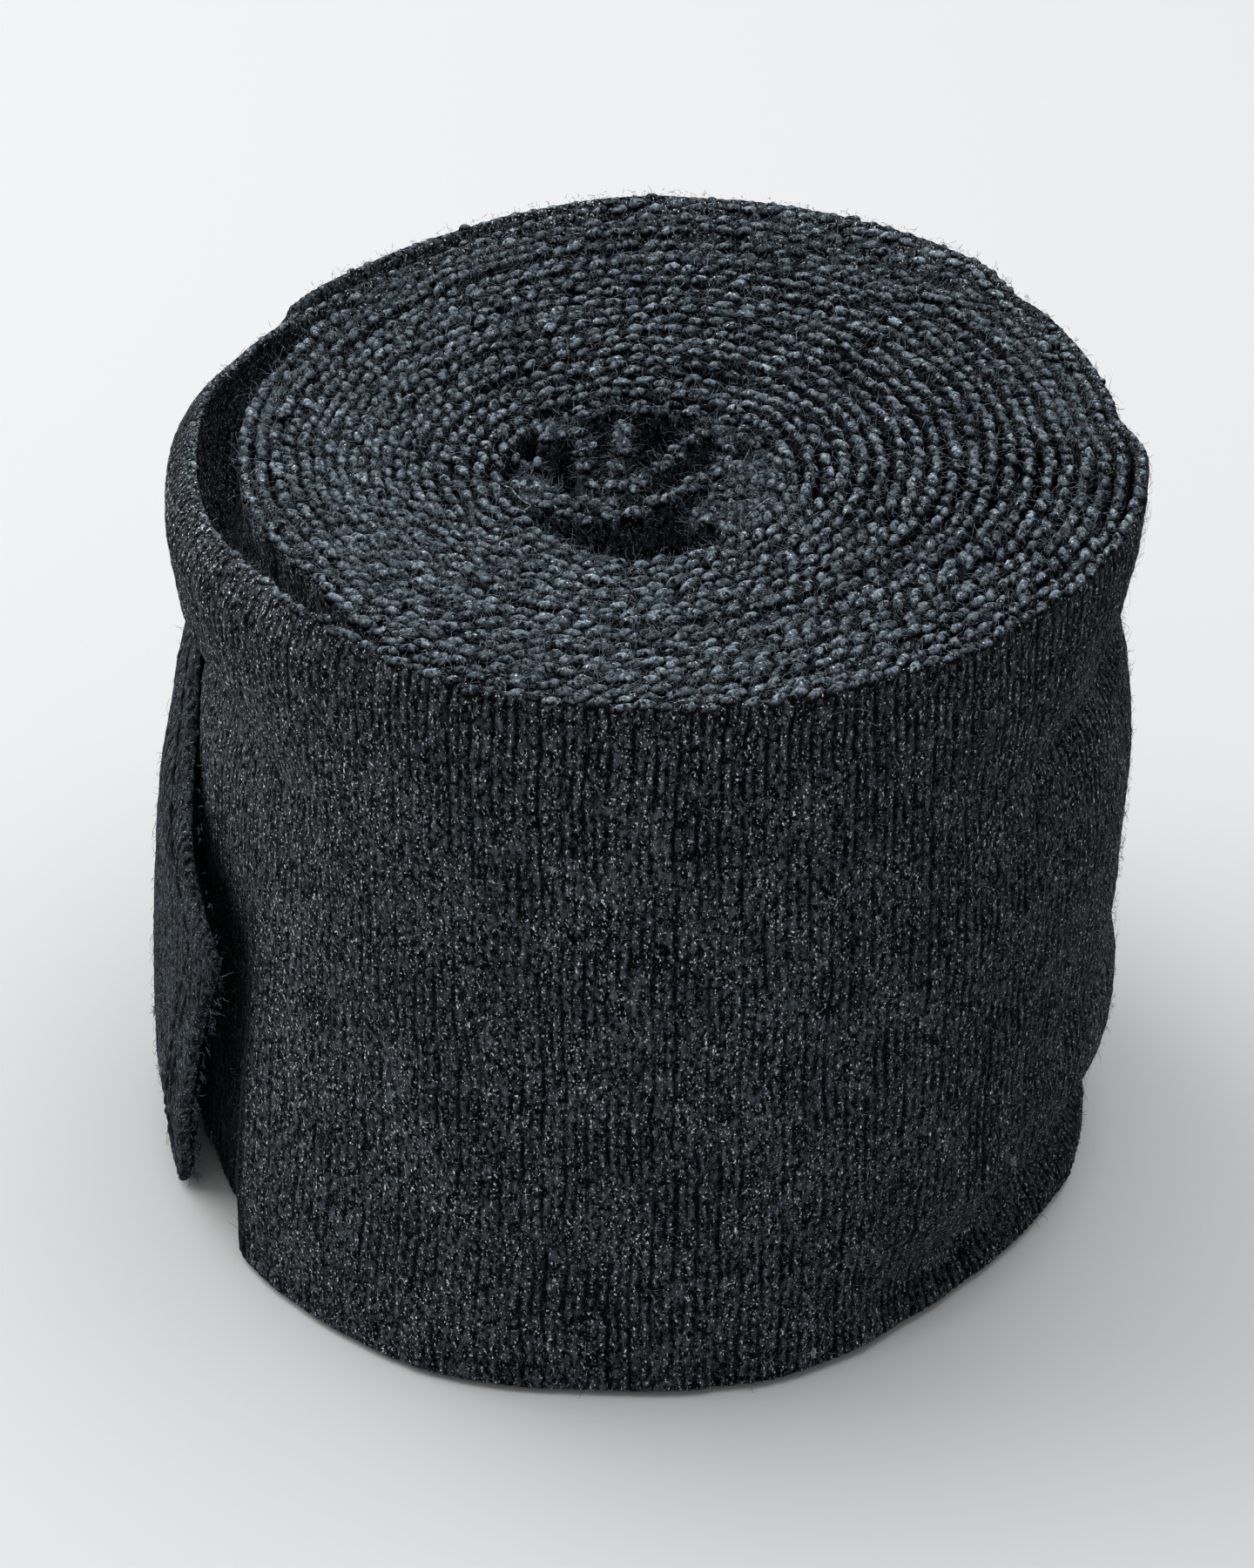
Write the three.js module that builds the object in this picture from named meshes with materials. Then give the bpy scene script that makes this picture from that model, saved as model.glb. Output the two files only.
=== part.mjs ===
// Rolled hand wrap: one knitted strip wound into a roll that stands on its edge,
// with a thumb loop folded into the core and a pointed hook-and-loop closure tab.
// Millimetres, +Z is the axis of the roll, the viewer's side is -Y.
// Angles are polar angles about the axis, counted up along the strip from the
// core (PHI_START) to the tip of the tab (PHI_TIP); the strip winds
// counter-clockwise outwards as seen from above.
import * as THREE from 'three';

// ---------------------------------------------------------------- dimensions
const TAPE_WIDTH = 50;        // width of the strip = height of the roll
const TAPE_T = 0.6;           // thickness of one layer
const ROLL_R = 29.1;          // centreline radius the spiral reaches at the tip
const PHI_START = 140;        // strip joins the spiral here (degrees)
const TURNS = 20;             // whole turns
const TIP_ANGLE = 211;        // polar angle of the tip of the tab
const PHI_TIP = 360 * TURNS + TIP_ANGLE;
const ROOT_ANGLE = -9;        // polar angle where the unwinding tail begins
const PHI_ROOT = 360 * TURNS + ROOT_ANGLE;
const TAB_ANGLE = 141;        // polar angle where the tab's top edge starts to slope
const PHI_TAB = 360 * TURNS + TAB_ANGLE;
const RAMP_ANGLE = 70;        // polar angle where the tail starts to rise over the closure
const TAIL_LINKS = 7;
const TAB_LINKS = 3;
const CUT = 0.3;              // gap between neighbouring pieces of the strip
const PATCH_T = 0.5;          // hook patch and loop patch thickness
const PATCH_GAP = 0.15;       // patch to the layer it is sewn on
const CLOSURE_GAP = 0.2;      // hook patch to loop patch
const TIP_Z = 22;             // height of the tip of the tab
const TAB_SLOPE = 0.757;      // rise of the tab's top edge per mm of arc
const TAB_FRONT = 7;          // arc over which the tab's front edge reaches the bottom
const LOOSE = 0.5;            // how far the outer turn stands off on its loose side
const SECTION_TURNS = 3;      // turns in each sliding section of the roll
const SECTIONS = 6;
const SECTION_BOTTOM = 0.3;
const DISH = [47.9, 48.3, 48.7, 49.1, 49.5, 49.8];   // top of section 1 (core) to 6
const CORE_TOP = 47.6;
const THREAD_R = 0.11;

// outline of the first turn: a round body with a narrow lobe at the front
const CORE_LOBES = [
  { x: -1.0, y: -0.7, r: 8.4 },
  { x: -0.8, y: -8.7, r: 1.9 },
];
const CORE_BLEND = 1.5;

const rad = (d) => (d * Math.PI) / 180;
const smooth = (t) => { const c = Math.min(1, Math.max(0, t)); return c * c * (3 - 2 * c); };

// ------------------------------------------------------------ the wound curve
// The curve is given by its support function: distance of the tangent from the
// axis for each direction, so that turns lie a constant distance apart.
function coreSupport(theta) {
  let sum = 0;
  for (const c of CORE_LOBES) {
    sum += Math.exp(CORE_BLEND * (c.x * Math.cos(theta) + c.y * Math.sin(theta) + c.r - 9));
  }
  return Math.log(sum) / CORE_BLEND + 9;
}

function nominal(phi) {
  const s = (phi - PHI_START) / (PHI_TIP - PHI_START);
  return (1 - s) * coreSupport(rad(phi)) + s * ROLL_R;
}

function support(phi) {
  if (phi <= PHI_ROOT) {
    const a = phi - (PHI_ROOT - 360) + ROOT_ANGLE;        // polar angle on the outer turn
    let h = nominal(phi);
    if (a > 95 && a < 235) h += LOOSE * Math.sin(rad(((a - 95) * 180) / 140)) ** 2;
    return h;
  }
  const a = phi - 360 * TURNS;
  const closed = support(phi - 360) + TAPE_T + PATCH_GAP * 2 + PATCH_T * 2 + CLOSURE_GAP;
  const w = smooth((a - RAMP_ANGLE) / (TAB_ANGLE - RAMP_ANGLE));
  return (1 - w) * nominal(phi) + w * closed;
}

function point(phi, offset = 0) {
  const t = rad(phi);
  const h = support(phi) + offset;
  const d = (support(phi + 0.05) - support(phi - 0.05)) / rad(0.1);
  return new THREE.Vector2(
    h * Math.cos(t) - d * Math.sin(t),
    h * Math.sin(t) + d * Math.cos(t),
  );
}

function arcStep(mm, phi) { return ((mm / support(phi)) * 180) / Math.PI; }

// stations of a stretch of strip, kept on a common angular grid
function stations(from, to, step, gapStart, gapEnd) {
  const a = from + (gapStart ? arcStep(CUT / 2, from) : 0);
  const b = to - (gapEnd ? arcStep(CUT / 2, to) : 0);
  const out = [a];
  for (let p = Math.ceil((a + 0.5) / step) * step; p < b - 0.5; p += step) out.push(p);
  out.push(b);
  return out;
}

// ------------------------------------------------------------------- solids
const group = new THREE.Group();
group.name = 'hand_wrap';

const KNIT = { color: 0x2b3136, roughness: 0.95, metalness: 0 };
const KNIT_TAB = { color: 0x343b41, roughness: 0.95, metalness: 0 };
const HOOK = { color: 0x101214, roughness: 0.6, metalness: 0 };
const LOOP = { color: 0x16191b, roughness: 1.0, metalness: 0 };
const THREAD = { color: 0x0c0d0e, roughness: 0.7, metalness: 0 };

function add(name, geometry, look, z = 0) {
  const mesh = new THREE.Mesh(geometry, new THREE.MeshStandardMaterial(look));
  mesh.name = name;
  mesh.position.z = z;
  group.add(mesh);
  return mesh;
}

// a stretch of strip of constant height, standing on its edge
function extrudedBand(outer, inner, height) {
  const shape = new THREE.Shape([...outer, ...inner.slice().reverse()]);
  return new THREE.ExtrudeGeometry(shape, { depth: height, bevelEnabled: false, curveSegments: 1 });
}

function spiralBand(phis, height, from = -TAPE_T / 2, to = TAPE_T / 2) {
  return extrudedBand(phis.map((p) => point(p, to)), phis.map((p) => point(p, from)), height);
}

// a band whose lower and upper edges change along its length
function shapedBand(phis, from, to, edges) {
  const v = [];
  for (const p of phis) {
    const i = point(p, from), o = point(p, to), [zb, zt] = edges(p);
    v.push([i.x, i.y, zb], [o.x, o.y, zb], [o.x, o.y, zt], [i.x, i.y, zt]);
  }
  const tri = [];
  const quad = (a, b, c, d) => tri.push(a, b, c, a, c, d);
  const n = phis.length;
  for (let k = 0; k + 1 < n; k++) {
    const a = 4 * k, b = 4 * (k + 1);
    quad(a, b, b + 1, a + 1);               // bottom
    quad(a + 1, b + 1, b + 2, a + 2);       // outside
    quad(a + 2, b + 2, b + 3, a + 3);       // top
    quad(a + 3, b + 3, b, a);               // inside
  }
  quad(0, 1, 2, 3);
  const e = 4 * (n - 1);
  quad(e, e + 3, e + 2, e + 1);
  const g = new THREE.BufferGeometry();
  g.setAttribute('position', new THREE.Float32BufferAttribute(v.flat(), 3));
  g.setIndex(tri);
  const flat = g.toNonIndexed();
  flat.computeVertexNormals();
  return flat;
}

// a band that follows a drawn line in plan
function drawnBand(line, height, steps, thickness = TAPE_T) {
  const curve = new THREE.SplineCurve(line.map(([x, y]) => new THREE.Vector2(x, y)));
  const left = [], right = [];
  for (let i = 0; i <= steps; i++) {
    const u = i / steps, p = curve.getPointAt(u), t = curve.getTangentAt(u);
    const n = new THREE.Vector2(-t.y, t.x).multiplyScalar(thickness / 2);
    left.push(p.clone().add(n));
    right.push(p.clone().sub(n));
  }
  return extrudedBand(right, left, height);
}

// a thread laid along points
function thread(points, steps) {
  const path = new THREE.CatmullRomCurve3(points, false, 'centripetal');
  const ring = [];
  for (let i = 0; i < 6; i++) {
    ring.push(new THREE.Vector2(THREAD_R * Math.cos((i * Math.PI) / 3), THREAD_R * Math.sin((i * Math.PI) / 3)));
  }
  return new THREE.ExtrudeGeometry(new THREE.Shape(ring), { steps, bevelEnabled: false, extrudePath: path });
}

// ------------------------------------------------------ sections of the roll
for (let k = 0; k < SECTIONS; k++) {
  const from = PHI_START + 360 * SECTION_TURNS * k;
  const to = from + 360 * SECTION_TURNS;
  const phis = stations(from, to, 15, true, true);
  add(`strip_section_${k + 1}`, spiralBand(phis, DISH[k] - SECTION_BOTTOM), KNIT, SECTION_BOTTOM);
}
add('strip_outer_turns',
  spiralBand(stations(PHI_START + 360 * SECTION_TURNS * SECTIONS, PHI_ROOT, 7.5, true, true), TAPE_WIDTH), KNIT);

// the strip's inner end: it runs on inwards from the first turn and lies in folds
// beside the thumb loop, each fold FOLD mm inside the one before
const FOLD = 1.05;
{
  const line = [];
  const lay = (phi, off) => { const q = point(phi, off); line.push([q.x, q.y]); };
  for (let p = PHI_START - 1.1; p > -34; p -= 9) lay(p, 0);
  lay(-34, 0); lay(-40.5, -0.16); lay(-42.5, -FOLD / 2); lay(-40.5, -FOLD + 0.16);
  for (let p = -34; p <= 8; p += 7) lay(p, -FOLD);
  lay(14.5, -FOLD - 0.16); lay(16.5, -1.5 * FOLD); lay(14.5, -2 * FOLD + 0.16);
  for (let p = 8; p >= -32; p -= 8) lay(p, -2 * FOLD);
  lay(-39.5, -2 * FOLD - 0.16); lay(-42, -2.5 * FOLD); lay(-39.5, -3 * FOLD + 0.16);
  for (let p = -32; p <= -10; p += 5.5) lay(p, -3 * FOLD);
  add('strip_folded_end', drawnBand(line, CORE_TOP - SECTION_BOTTOM, 96), KNIT, SECTION_BOTTOM);
}

// the sewn end of the thumb loop, folded over beside it
const LOOP_END = [
  [-2.1, 5.4], [-2.05, 3.4], [-2.05, 1.4], [-2.3, 0.1], [-3.15, -0.55], [-4.0, 0.1],
  [-4.25, 1.4], [-4.25, 3.2], [-4.4, 4.3], [-5.0, 4.95], [-5.8, 4.9], [-6.4, 4.2], [-6.75, 3.2],
];
add('thumb_loop_folded_end', drawnBand(LOOP_END, CORE_TOP - SECTION_BOTTOM, 40), KNIT, SECTION_BOTTOM);

// the thumb loop: two layers lying together, opening into a round eye
const THUMB_LOOP = [
  [-7.15, 2.0], [-7.2, 0.6], [-6.9, -1.2], [-6.0, -2.6], [-4.6, -3.25], [-3.2, -3.2], [-2.1, -2.2],
  [-1.05, -0.7], [0.1, 1.1], [1.5, 2.8], [2.8, 4.1], [3.75, 4.3], [4.3, 3.5], [4.25, 2.2], [3.6, 0.7],
  [2.6, -0.8], [1.0, -2.0], [-0.4, -3.1], [-1.5, -4.2], [-2.9, -4.75], [-4.7, -4.6], [-6.4, -3.8],
  [-7.6, -2.3], [-8.15, -0.4], [-8.2, 2.0],
];
add('thumb_loop', drawnBand(THUMB_LOOP, CORE_TOP - 0.4 - SECTION_BOTTOM, 76), KNIT, SECTION_BOTTOM);

// bar tack that sews the two ends of the thumb loop down
{
  const pts = [];
  const rows = 9;
  for (let i = 0; i < rows; i++) {
    const z = 16 + (i * 16) / (rows - 1);
    pts.push(new THREE.Vector3(-6.68, i % 2 ? 1.75 : 0.35, z));
  }
  add('thumb_loop_bar_tack', thread(pts, 48), THREAD);
}

// ------------------------------------------------------------- unwinding tail
const hinges = [];
const tailStep = (PHI_TAB - PHI_ROOT) / TAIL_LINKS;
for (let k = 0; k < TAIL_LINKS; k++) {
  const from = PHI_ROOT + k * tailStep, to = from + tailStep;
  const a = from + arcStep(CUT / 2, from), b = to - arcStep(CUT / 2, to);
  const phis = [a, from + tailStep / 3, from + (2 * tailStep) / 3, b];
  add(`strip_tail_${k + 1}`, spiralBand(phis, TAPE_WIDTH), KNIT);
  hinges.push({ name: `tail_${k + 1}`, at: point(from, TAPE_T / 2) });
}

// ---------------------------------------------------------------- closure tab
const arcToTip = (phi) => rad(PHI_TIP - phi) * 30.4;
function tabEdges(inset) {
  return (phi) => {
    const a = arcToTip(phi);
    const k = Math.hypot(1, TAB_SLOPE);
    const zt = Math.min(TAPE_WIDTH - inset, TIP_Z + TAB_SLOPE * a - inset * k);
    const zb = Math.max(inset, TIP_Z - (TIP_Z / TAB_FRONT) * a + inset * 3.3);
    return [zb, zt];
  };
}
const tabStep = (PHI_TIP - PHI_TAB) / TAB_LINKS;
const tipCut = ((0.5 / 30.4) * 180) / Math.PI;              // the tip is blunt
const frontCorner = PHI_TIP - ((TAB_FRONT / 30.4) * 180) / Math.PI;
for (let k = 0; k < TAB_LINKS; k++) {
  const from = PHI_TAB + k * tabStep, to = from + tabStep;
  const last = k === TAB_LINKS - 1;
  const a = from + arcStep(CUT / 2, from);
  const b = last ? PHI_TIP - tipCut : to - arcStep(CUT / 2, to);
  const phis = last
    ? [a, a + (frontCorner - a) / 2, frontCorner, (frontCorner + b) / 2, b]
    : [a, from + tabStep / 3, from + (2 * tabStep) / 3, b];
  add(`strip_tab_${k + 1}`, shapedBand(phis, -TAPE_T / 2, TAPE_T / 2, tabEdges(0)), KNIT_TAB);
  hinges.push({ name: `tab_${k + 1}`, at: point(from, TAPE_T / 2) });

  // hook patch on the inner face, set in from the edges of the tab
  const inset = 1.5;
  const tip = PHI_TIP - ((4.2 / 30.4) * 180) / Math.PI;
  const corner = PHI_TIP - ((8.2 / 30.4) * 180) / Math.PI;
  const start = k === 0 ? PHI_TAB + 3.5 : a;
  const hook = last
    ? [a, a + (corner - a) / 2, corner, (corner + tip) / 2, tip]
    : [start, start + (b - start) / 3, start + (2 * (b - start)) / 3, b];
  const inner = -TAPE_T / 2 - PATCH_GAP - PATCH_T, outer = -TAPE_T / 2 - PATCH_GAP;
  add(`hook_patch_${k + 1}`, shapedBand(hook, inner, outer, tabEdges(inset)), HOOK);

  // its stitching on the outer face
  const edge = tabEdges(inset + 1.2);
  const pts = [];
  const s0 = k === 0 ? PHI_TAB + 6 : a + 1.6;
  const s1 = last ? PHI_TIP - ((8.5 / 30.4) * 180) / Math.PI : b - 1.6;
  const at = (phi, z) => { const p = point(phi, TAPE_T / 2 + 0.1 + THREAD_R); return new THREE.Vector3(p.x, p.y, z); };
  const rows = 6;
  for (let i = 0; i <= rows; i++) { const p = s0 + ((s1 - s0) * i) / rows; pts.push(at(p, edge(p)[0] + (last && i === rows ? 3 : 0))); }
  const [zb, zt] = edge(s1);
  for (let i = 1; i < 5; i++) pts.push(at(s1 + 0.4, zb + 3 * (last ? 1 : 0) + ((zt - zb - 3 * (last ? 1 : 0)) * i) / 5));
  for (let i = rows; i >= 0; i--) { const p = s0 + ((s1 - s0) * i) / rows; pts.push(at(p, edge(p)[1])); }
  add(`hook_stitching_${k + 1}`, thread(pts, 60), THREAD);
}

// loop patch on the outer turn of the roll, below the closed tab
{
  const under = (phi) => phi - 360;
  const edge = tabEdges(2.2);
  const from = PHI_TAB + 4.5, corner = PHI_TIP - ((9.6 / 30.4) * 180) / Math.PI, to = PHI_TIP - ((6.4 / 30.4) * 180) / Math.PI;
  const phis = [];
  for (let i = 0; i <= 7; i++) phis.push(from + ((corner - from) * i) / 7);
  phis.push((corner + to) / 2, to);
  add('loop_patch', shapedBand(phis.map(under), TAPE_T / 2 + PATCH_GAP, TAPE_T / 2 + PATCH_GAP + PATCH_T,
    (p) => edge(p + 360)), LOOP);
  // overlocked edge thread just outside the patch
  const rim = tabEdges(1.5);
  const pts = [];
  const at = (phi, z) => { const p = point(under(phi), TAPE_T / 2 + 0.12 + THREAD_R); return new THREE.Vector3(p.x, p.y, z); };
  const s0 = from - 1.6, s1 = to + 0.2;
  const n = 12;
  for (let i = 0; i <= n; i++) { const p = s0 + ((corner - s0) * i) / n; pts.push(at(p, rim(p)[0])); }
  const [ze, zu] = rim(s1);
  const zm = Math.max(ze, edge(to)[0] - 0.2), zn = Math.min(zu, edge(to)[1] + 0.6);
  pts.push(at(s1 + 0.9, zm), at(s1 + 1.0, (zm + zn) / 2), at(s1 + 0.6, zn));
  for (let i = n; i >= 0; i--) { const p = s0 + ((corner - s0) * i) / n; pts.push(at(p, rim(p)[1])); }
  add('loop_patch_stitching', thread(pts, 90), THREAD);
}

// --------------------------------------------------- origin at bottom centre
group.updateMatrixWorld(true);
const box = new THREE.Box3().setFromObject(group);
const SHIFT = new THREE.Vector3(-(box.min.x + box.max.x) / 2, -(box.min.y + box.max.y) / 2, -box.min.z);
for (const mesh of group.children) mesh.position.add(SHIFT);
group.userData = {
  shift: SHIFT.toArray(),
  hinges: hinges.map((h) => ({ name: h.name, x: h.at.x + SHIFT.x, y: h.at.y + SHIFT.y })),
  length: (() => {
    let l = 0, p = point(PHI_START);
    for (let q = PHI_START + 1; q <= PHI_TIP; q += 1) { const n = point(q); l += n.distanceTo(p); p = n; }
    return l;
  })(),
};

export default group;
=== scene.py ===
# Looks of the rolled hand wrap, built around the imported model.
# Lengths in the helpers are millimetres in "roll coordinates" (the spiral's own
# centre); they are shifted and turned into metres when a mesh is made.
import math
import bpy
import numpy as np
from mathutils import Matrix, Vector


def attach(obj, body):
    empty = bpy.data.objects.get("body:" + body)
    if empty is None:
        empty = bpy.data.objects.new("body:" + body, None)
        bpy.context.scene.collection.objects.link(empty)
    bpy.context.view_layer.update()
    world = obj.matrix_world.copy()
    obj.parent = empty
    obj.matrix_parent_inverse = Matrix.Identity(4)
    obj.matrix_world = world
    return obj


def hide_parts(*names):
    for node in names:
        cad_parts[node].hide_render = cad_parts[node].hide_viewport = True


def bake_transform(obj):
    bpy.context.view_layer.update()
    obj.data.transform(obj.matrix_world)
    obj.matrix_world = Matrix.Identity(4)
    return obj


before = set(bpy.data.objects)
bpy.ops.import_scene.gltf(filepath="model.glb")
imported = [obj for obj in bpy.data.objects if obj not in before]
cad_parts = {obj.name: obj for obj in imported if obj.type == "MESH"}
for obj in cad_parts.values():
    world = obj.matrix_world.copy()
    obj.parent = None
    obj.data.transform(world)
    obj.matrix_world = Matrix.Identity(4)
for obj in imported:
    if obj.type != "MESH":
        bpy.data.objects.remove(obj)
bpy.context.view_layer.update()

D2R = math.pi / 180
SHIFT = np.array([1.2194404602, -0.3016958237])

# ------------------------------------------------------------------ camera
cam_data = bpy.data.cameras.new("camera")
cam = bpy.data.objects.new("camera", cam_data)
bpy.context.scene.collection.objects.link(cam)
pitch, yaw = 34.94 * D2R, -0.57 * D2R
cam.location = (0.00209, -0.2624, 0.2079)
aim = Vector((math.sin(yaw) * math.cos(pitch), math.cos(yaw) * math.cos(pitch), -math.sin(pitch)))
cam.rotation_euler = aim.to_track_quat("-Z", "Y").to_euler()
cam_data.sensor_width = 36
cam_data.lens = 118.96
cam_data.clip_start = 0.01
cam_data.clip_end = 20
bpy.context.scene.camera = cam


# ------------------------------------------------------------------- noise
def lattice(seed):
    return np.random.RandomState(seed).rand(256, 256)


LAT = {}


def vnoise(x, y, seed=0):
    """smooth value noise, -1..1, one unit between its lattice points"""
    if seed not in LAT:
        LAT[seed] = lattice(seed)
    L = LAT[seed]
    x, y = np.broadcast_arrays(np.asarray(x, float), np.asarray(y, float))
    xi, yi = np.floor(x).astype(int), np.floor(y).astype(int)
    fx, fy = x - xi, y - yi
    fx, fy = fx * fx * (3 - 2 * fx), fy * fy * (3 - 2 * fy)
    a, b = L[xi & 255, yi & 255], L[(xi + 1) & 255, yi & 255]
    c, d = L[xi & 255, (yi + 1) & 255], L[(xi + 1) & 255, (yi + 1) & 255]
    return 2 * ((a * (1 - fx) + b * fx) * (1 - fy) + (c * (1 - fx) + d * fx) * fy) - 1


def smooth(t):
    t = np.clip(t, 0, 1)
    return t * t * (3 - 2 * t)


# --------------------------------------------------------- the wound curve
PHI_START, PHI_ROOT, PHI_TAB, PHI_TIP = 140.0, 7191.0, 7341.0, 7411.0
ROLL_R = 29.1
LOBES = [(-1.0, -0.7, 8.4), (-0.8, -8.7, 1.9)]


def core_support(t):
    return np.log(sum(np.exp(1.5 * (x * np.cos(t) + y * np.sin(t) + r - 9)) for x, y, r in LOBES)) / 1.5 + 9


def nominal(phi):
    s = (phi - PHI_START) / (PHI_TIP - PHI_START)
    return (1 - s) * core_support(phi * D2R) + s * ROLL_R


def inner_support(phi):
    a = phi - 6840.0
    loose = np.where((a > 95) & (a < 235), 0.5 * np.sin(np.pi * (a - 95) / 140) ** 2, 0.0)
    return nominal(phi) + loose


def support(phi):
    phi = np.asarray(phi, float)
    a = phi - 7200.0
    w = smooth((a - 70) / 71)
    outer = (1 - w) * nominal(phi) + w * (inner_support(phi - 360) + 2.1)
    return np.where(phi <= PHI_ROOT, inner_support(phi), outer)


GRID = np.arange(-80.0, 7431.0, 0.5)
_h = support(GRID)
_d = (support(GRID + 0.05) - support(GRID - 0.05)) / (0.1 * D2R)
_t = GRID * D2R
GX, GY = _h * np.cos(_t) - _d * np.sin(_t), _h * np.sin(_t) + _d * np.cos(_t)
GS = np.concatenate([[0], np.cumsum(np.hypot(np.diff(GX), np.diff(GY)))])
GS -= np.interp(PHI_START, GRID, GS)


def arc(phi):
    return np.interp(phi, GRID, GS)


def phi_at(s):
    return np.interp(s, GS, GRID)


def turn_share(phi):
    return np.clip((phi - PHI_START) / (PHI_TIP - PHI_START), 0, 1)


def window(a, lo, hi, soft):
    """1 between lo and hi degrees, fading over soft degrees outside, for angles of any turn"""
    mid = (lo + hi) / 2
    d = (np.asarray(a) - mid + 180) % 360 - 180
    half = (hi - lo) / 2
    return 1 - smooth((np.abs(d) - half) / soft)


LEFT_Z = [-1, 3.0, 6.5, 14, 22, 26, 29.5, 33.3, 37.2, 41, 44.9, 46.4, 48.5, 52]
LEFT_D = [0.1, 0.2, 0.75, 0.7, 0.2, -0.3, -0.95, -1.35, -2.4, -0.35, 0.15, 0.3, 0.45, 0.45]
RIGHT_Z = [-1, 0.0, 1.2, 2.3, 3.5, 4.8, 7.2, 9.7, 12.5, 15.5, 19, 24, 29, 33, 35.8, 37.2, 38.7, 41, 44.5, 47.5, 50, 52]
RIGHT_D = [-1.3, -1.3, -1.5, -2.5, -2.9, -2.4, -1.2, -0.15, 0.15, -0.45, -0.1, 0.1, 0.25, -0.05, -0.7, -1.75, -1.45, -0.6, 0.0, 0.25, -0.05, -0.1]


def push(phi, z):
    """how far the cloth is pushed outwards from the plain spiral at a height"""
    a = np.asarray(phi, float) % 360
    s = turn_share(phi)
    z = np.asarray(z, float)
    outer = smooth((s - 0.55) / 0.43)
    # right: slack rolls one above the other, the lowest tucked under
    zr = z + 1.5 * vnoise((7200 + (a + 180) % 360 - 180) * 0.03, 0.0, 5) * window(a, -25, 30, 30)
    right = np.interp(zr, RIGHT_Z, RIGHT_D)
    upper = np.where(z > 9.0, right, 0.0)
    lower = np.where(z > 9.0, 0.0, right)
    d = outer * (upper * window(a, -22, 25, 38) + lower * window(a, -42, 20, 36))
    # left: pinched above the middle, and the edges above curl inwards over the turns inside
    d = d + outer * window(a, 168, 200, 38) * np.interp(z, LEFT_Z, LEFT_D)
    shoulder = window(a, 128, 207, 46)
    last = smooth((phi - 6925.0) / 30.0) * (1 - smooth((phi - 7150.0) / 40.0))
    tail = smooth((phi - 7120.0) / 60.0)
    broad = smooth((z - 39.5) / 10.0)
    steep = smooth((z - 46.4) / 4.6) ** 1.2
    back = window(a, 95, 136, 30)
    d = d - 2.4 * shoulder * last * (broad * back + steep * (1 - back))
    d = d - 2.05 * window(a, 120, 139, 34) * smooth((phi - 7230.0) / 50.0) * broad
    inside = (1 - smooth((phi - 6905.0) / 40.0)) * smooth((s - 0.16) / 0.76)
    d = d - (2.45 * shoulder + 0.8 * window(a, 150, 212, 34)) * inside * smooth((z - 38.0) / 9.0)
    # right, towards the back: the top edge leans in a little
    d = d - 1.3 * outer * window(a, 6, 35, 10) * smooth((z - 38.0) / 11.0)
    # bottom: swells out at the front left, tucked further in at the front right
    low = np.where((a > 180) & (a < 218), smooth((a - 205.0) / 8.0), window(a, -147, -121, 32))
    d = d + 1.55 * outer * low * (1 - smooth(z / 24.0))
    # under the tab the roll is pressed in, up to a soft step just past the tab's free edge
    covered = smooth((phi - 6860.0) / 10.0) * (1 - smooth((phi - 7150.0) / 40.0))
    d = d - 1.25 * covered * window(a, 194, 208.5, 6) * (1 - smooth((z - 20.0) / 12.0)) * (0.35 + 0.65 * smooth((z - 1.0) / 7.0))
    below = smooth((phi - 6500.0) / 10.0) * (1 - covered) * (phi < 6860)
    d = d - 1.15 * below * window(a, 194, 208.5, 6) * (1 - smooth((z - 20.0) / 12.0)) * (0.35 + 0.65 * smooth((z - 1.0) / 7.0))
    d = d - 0.45 * outer * window(a, -56, -40, 24) * (1 - smooth((z - 1.0) / 8.5))
    # the tab's free end curls away a little
    end = smooth((phi - 7362.0) / 40.0)
    d = d + tail * end * np.interp(z, [0, 6, 12, 22, 50], [0.3, 0.0, -0.25, -0.45, -0.45])
    # and its sloping edge lies close to the roll
    brink = 22.0 + 0.757 * (PHI_TIP - phi) * D2R * 30.4
    d = d - 1.0 * smooth((phi - 7335.0) / 14.0) * smooth((z - brink + 6.5) / 5.0) * smooth((z - 25.0) / 8.0)
    # slow unevenness shared by neighbouring turns
    t = phi * D2R
    x, y = np.cos(t) * (9 + 20 * s), np.sin(t) * (9 + 20 * s)
    calm = np.where(phi > 7335, 0.25, 1.0)
    d = d + calm * 0.16 * vnoise(x * 0.16 + 7, y * 0.16 + 3 + z * 0.03, 11) * smooth(s / 0.1)
    d = d + calm * 0.10 * outer * vnoise(phi * 0.16, z * 0.14, 12)
    return d


DIPS = [(1, 24.2, 6, 0.75, 1.0), (14, 20.4, 4.5, 0.9, 1.0), (-13.5, 8.3, 4.2, 0.8, 1.0), (-9, 8.6, 1.8, 0.8, 0.9),
        (3.6, 9.7, 2.4, 0.8, 0.9), (-9.9, -1.2, 1.7, 0.8, 0.9), (-20.5, 12.5, 3.0, 0.6, 0.7), (9, 17, 3.5, 0.6, 0.6),
        (16, -8, 3.0, 0.6, 0.5), (12.5, 3.0, 2.6, 0.6, 0.6), (-15.5, -9.0, 2.5, 0.5, 0.5)]


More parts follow.
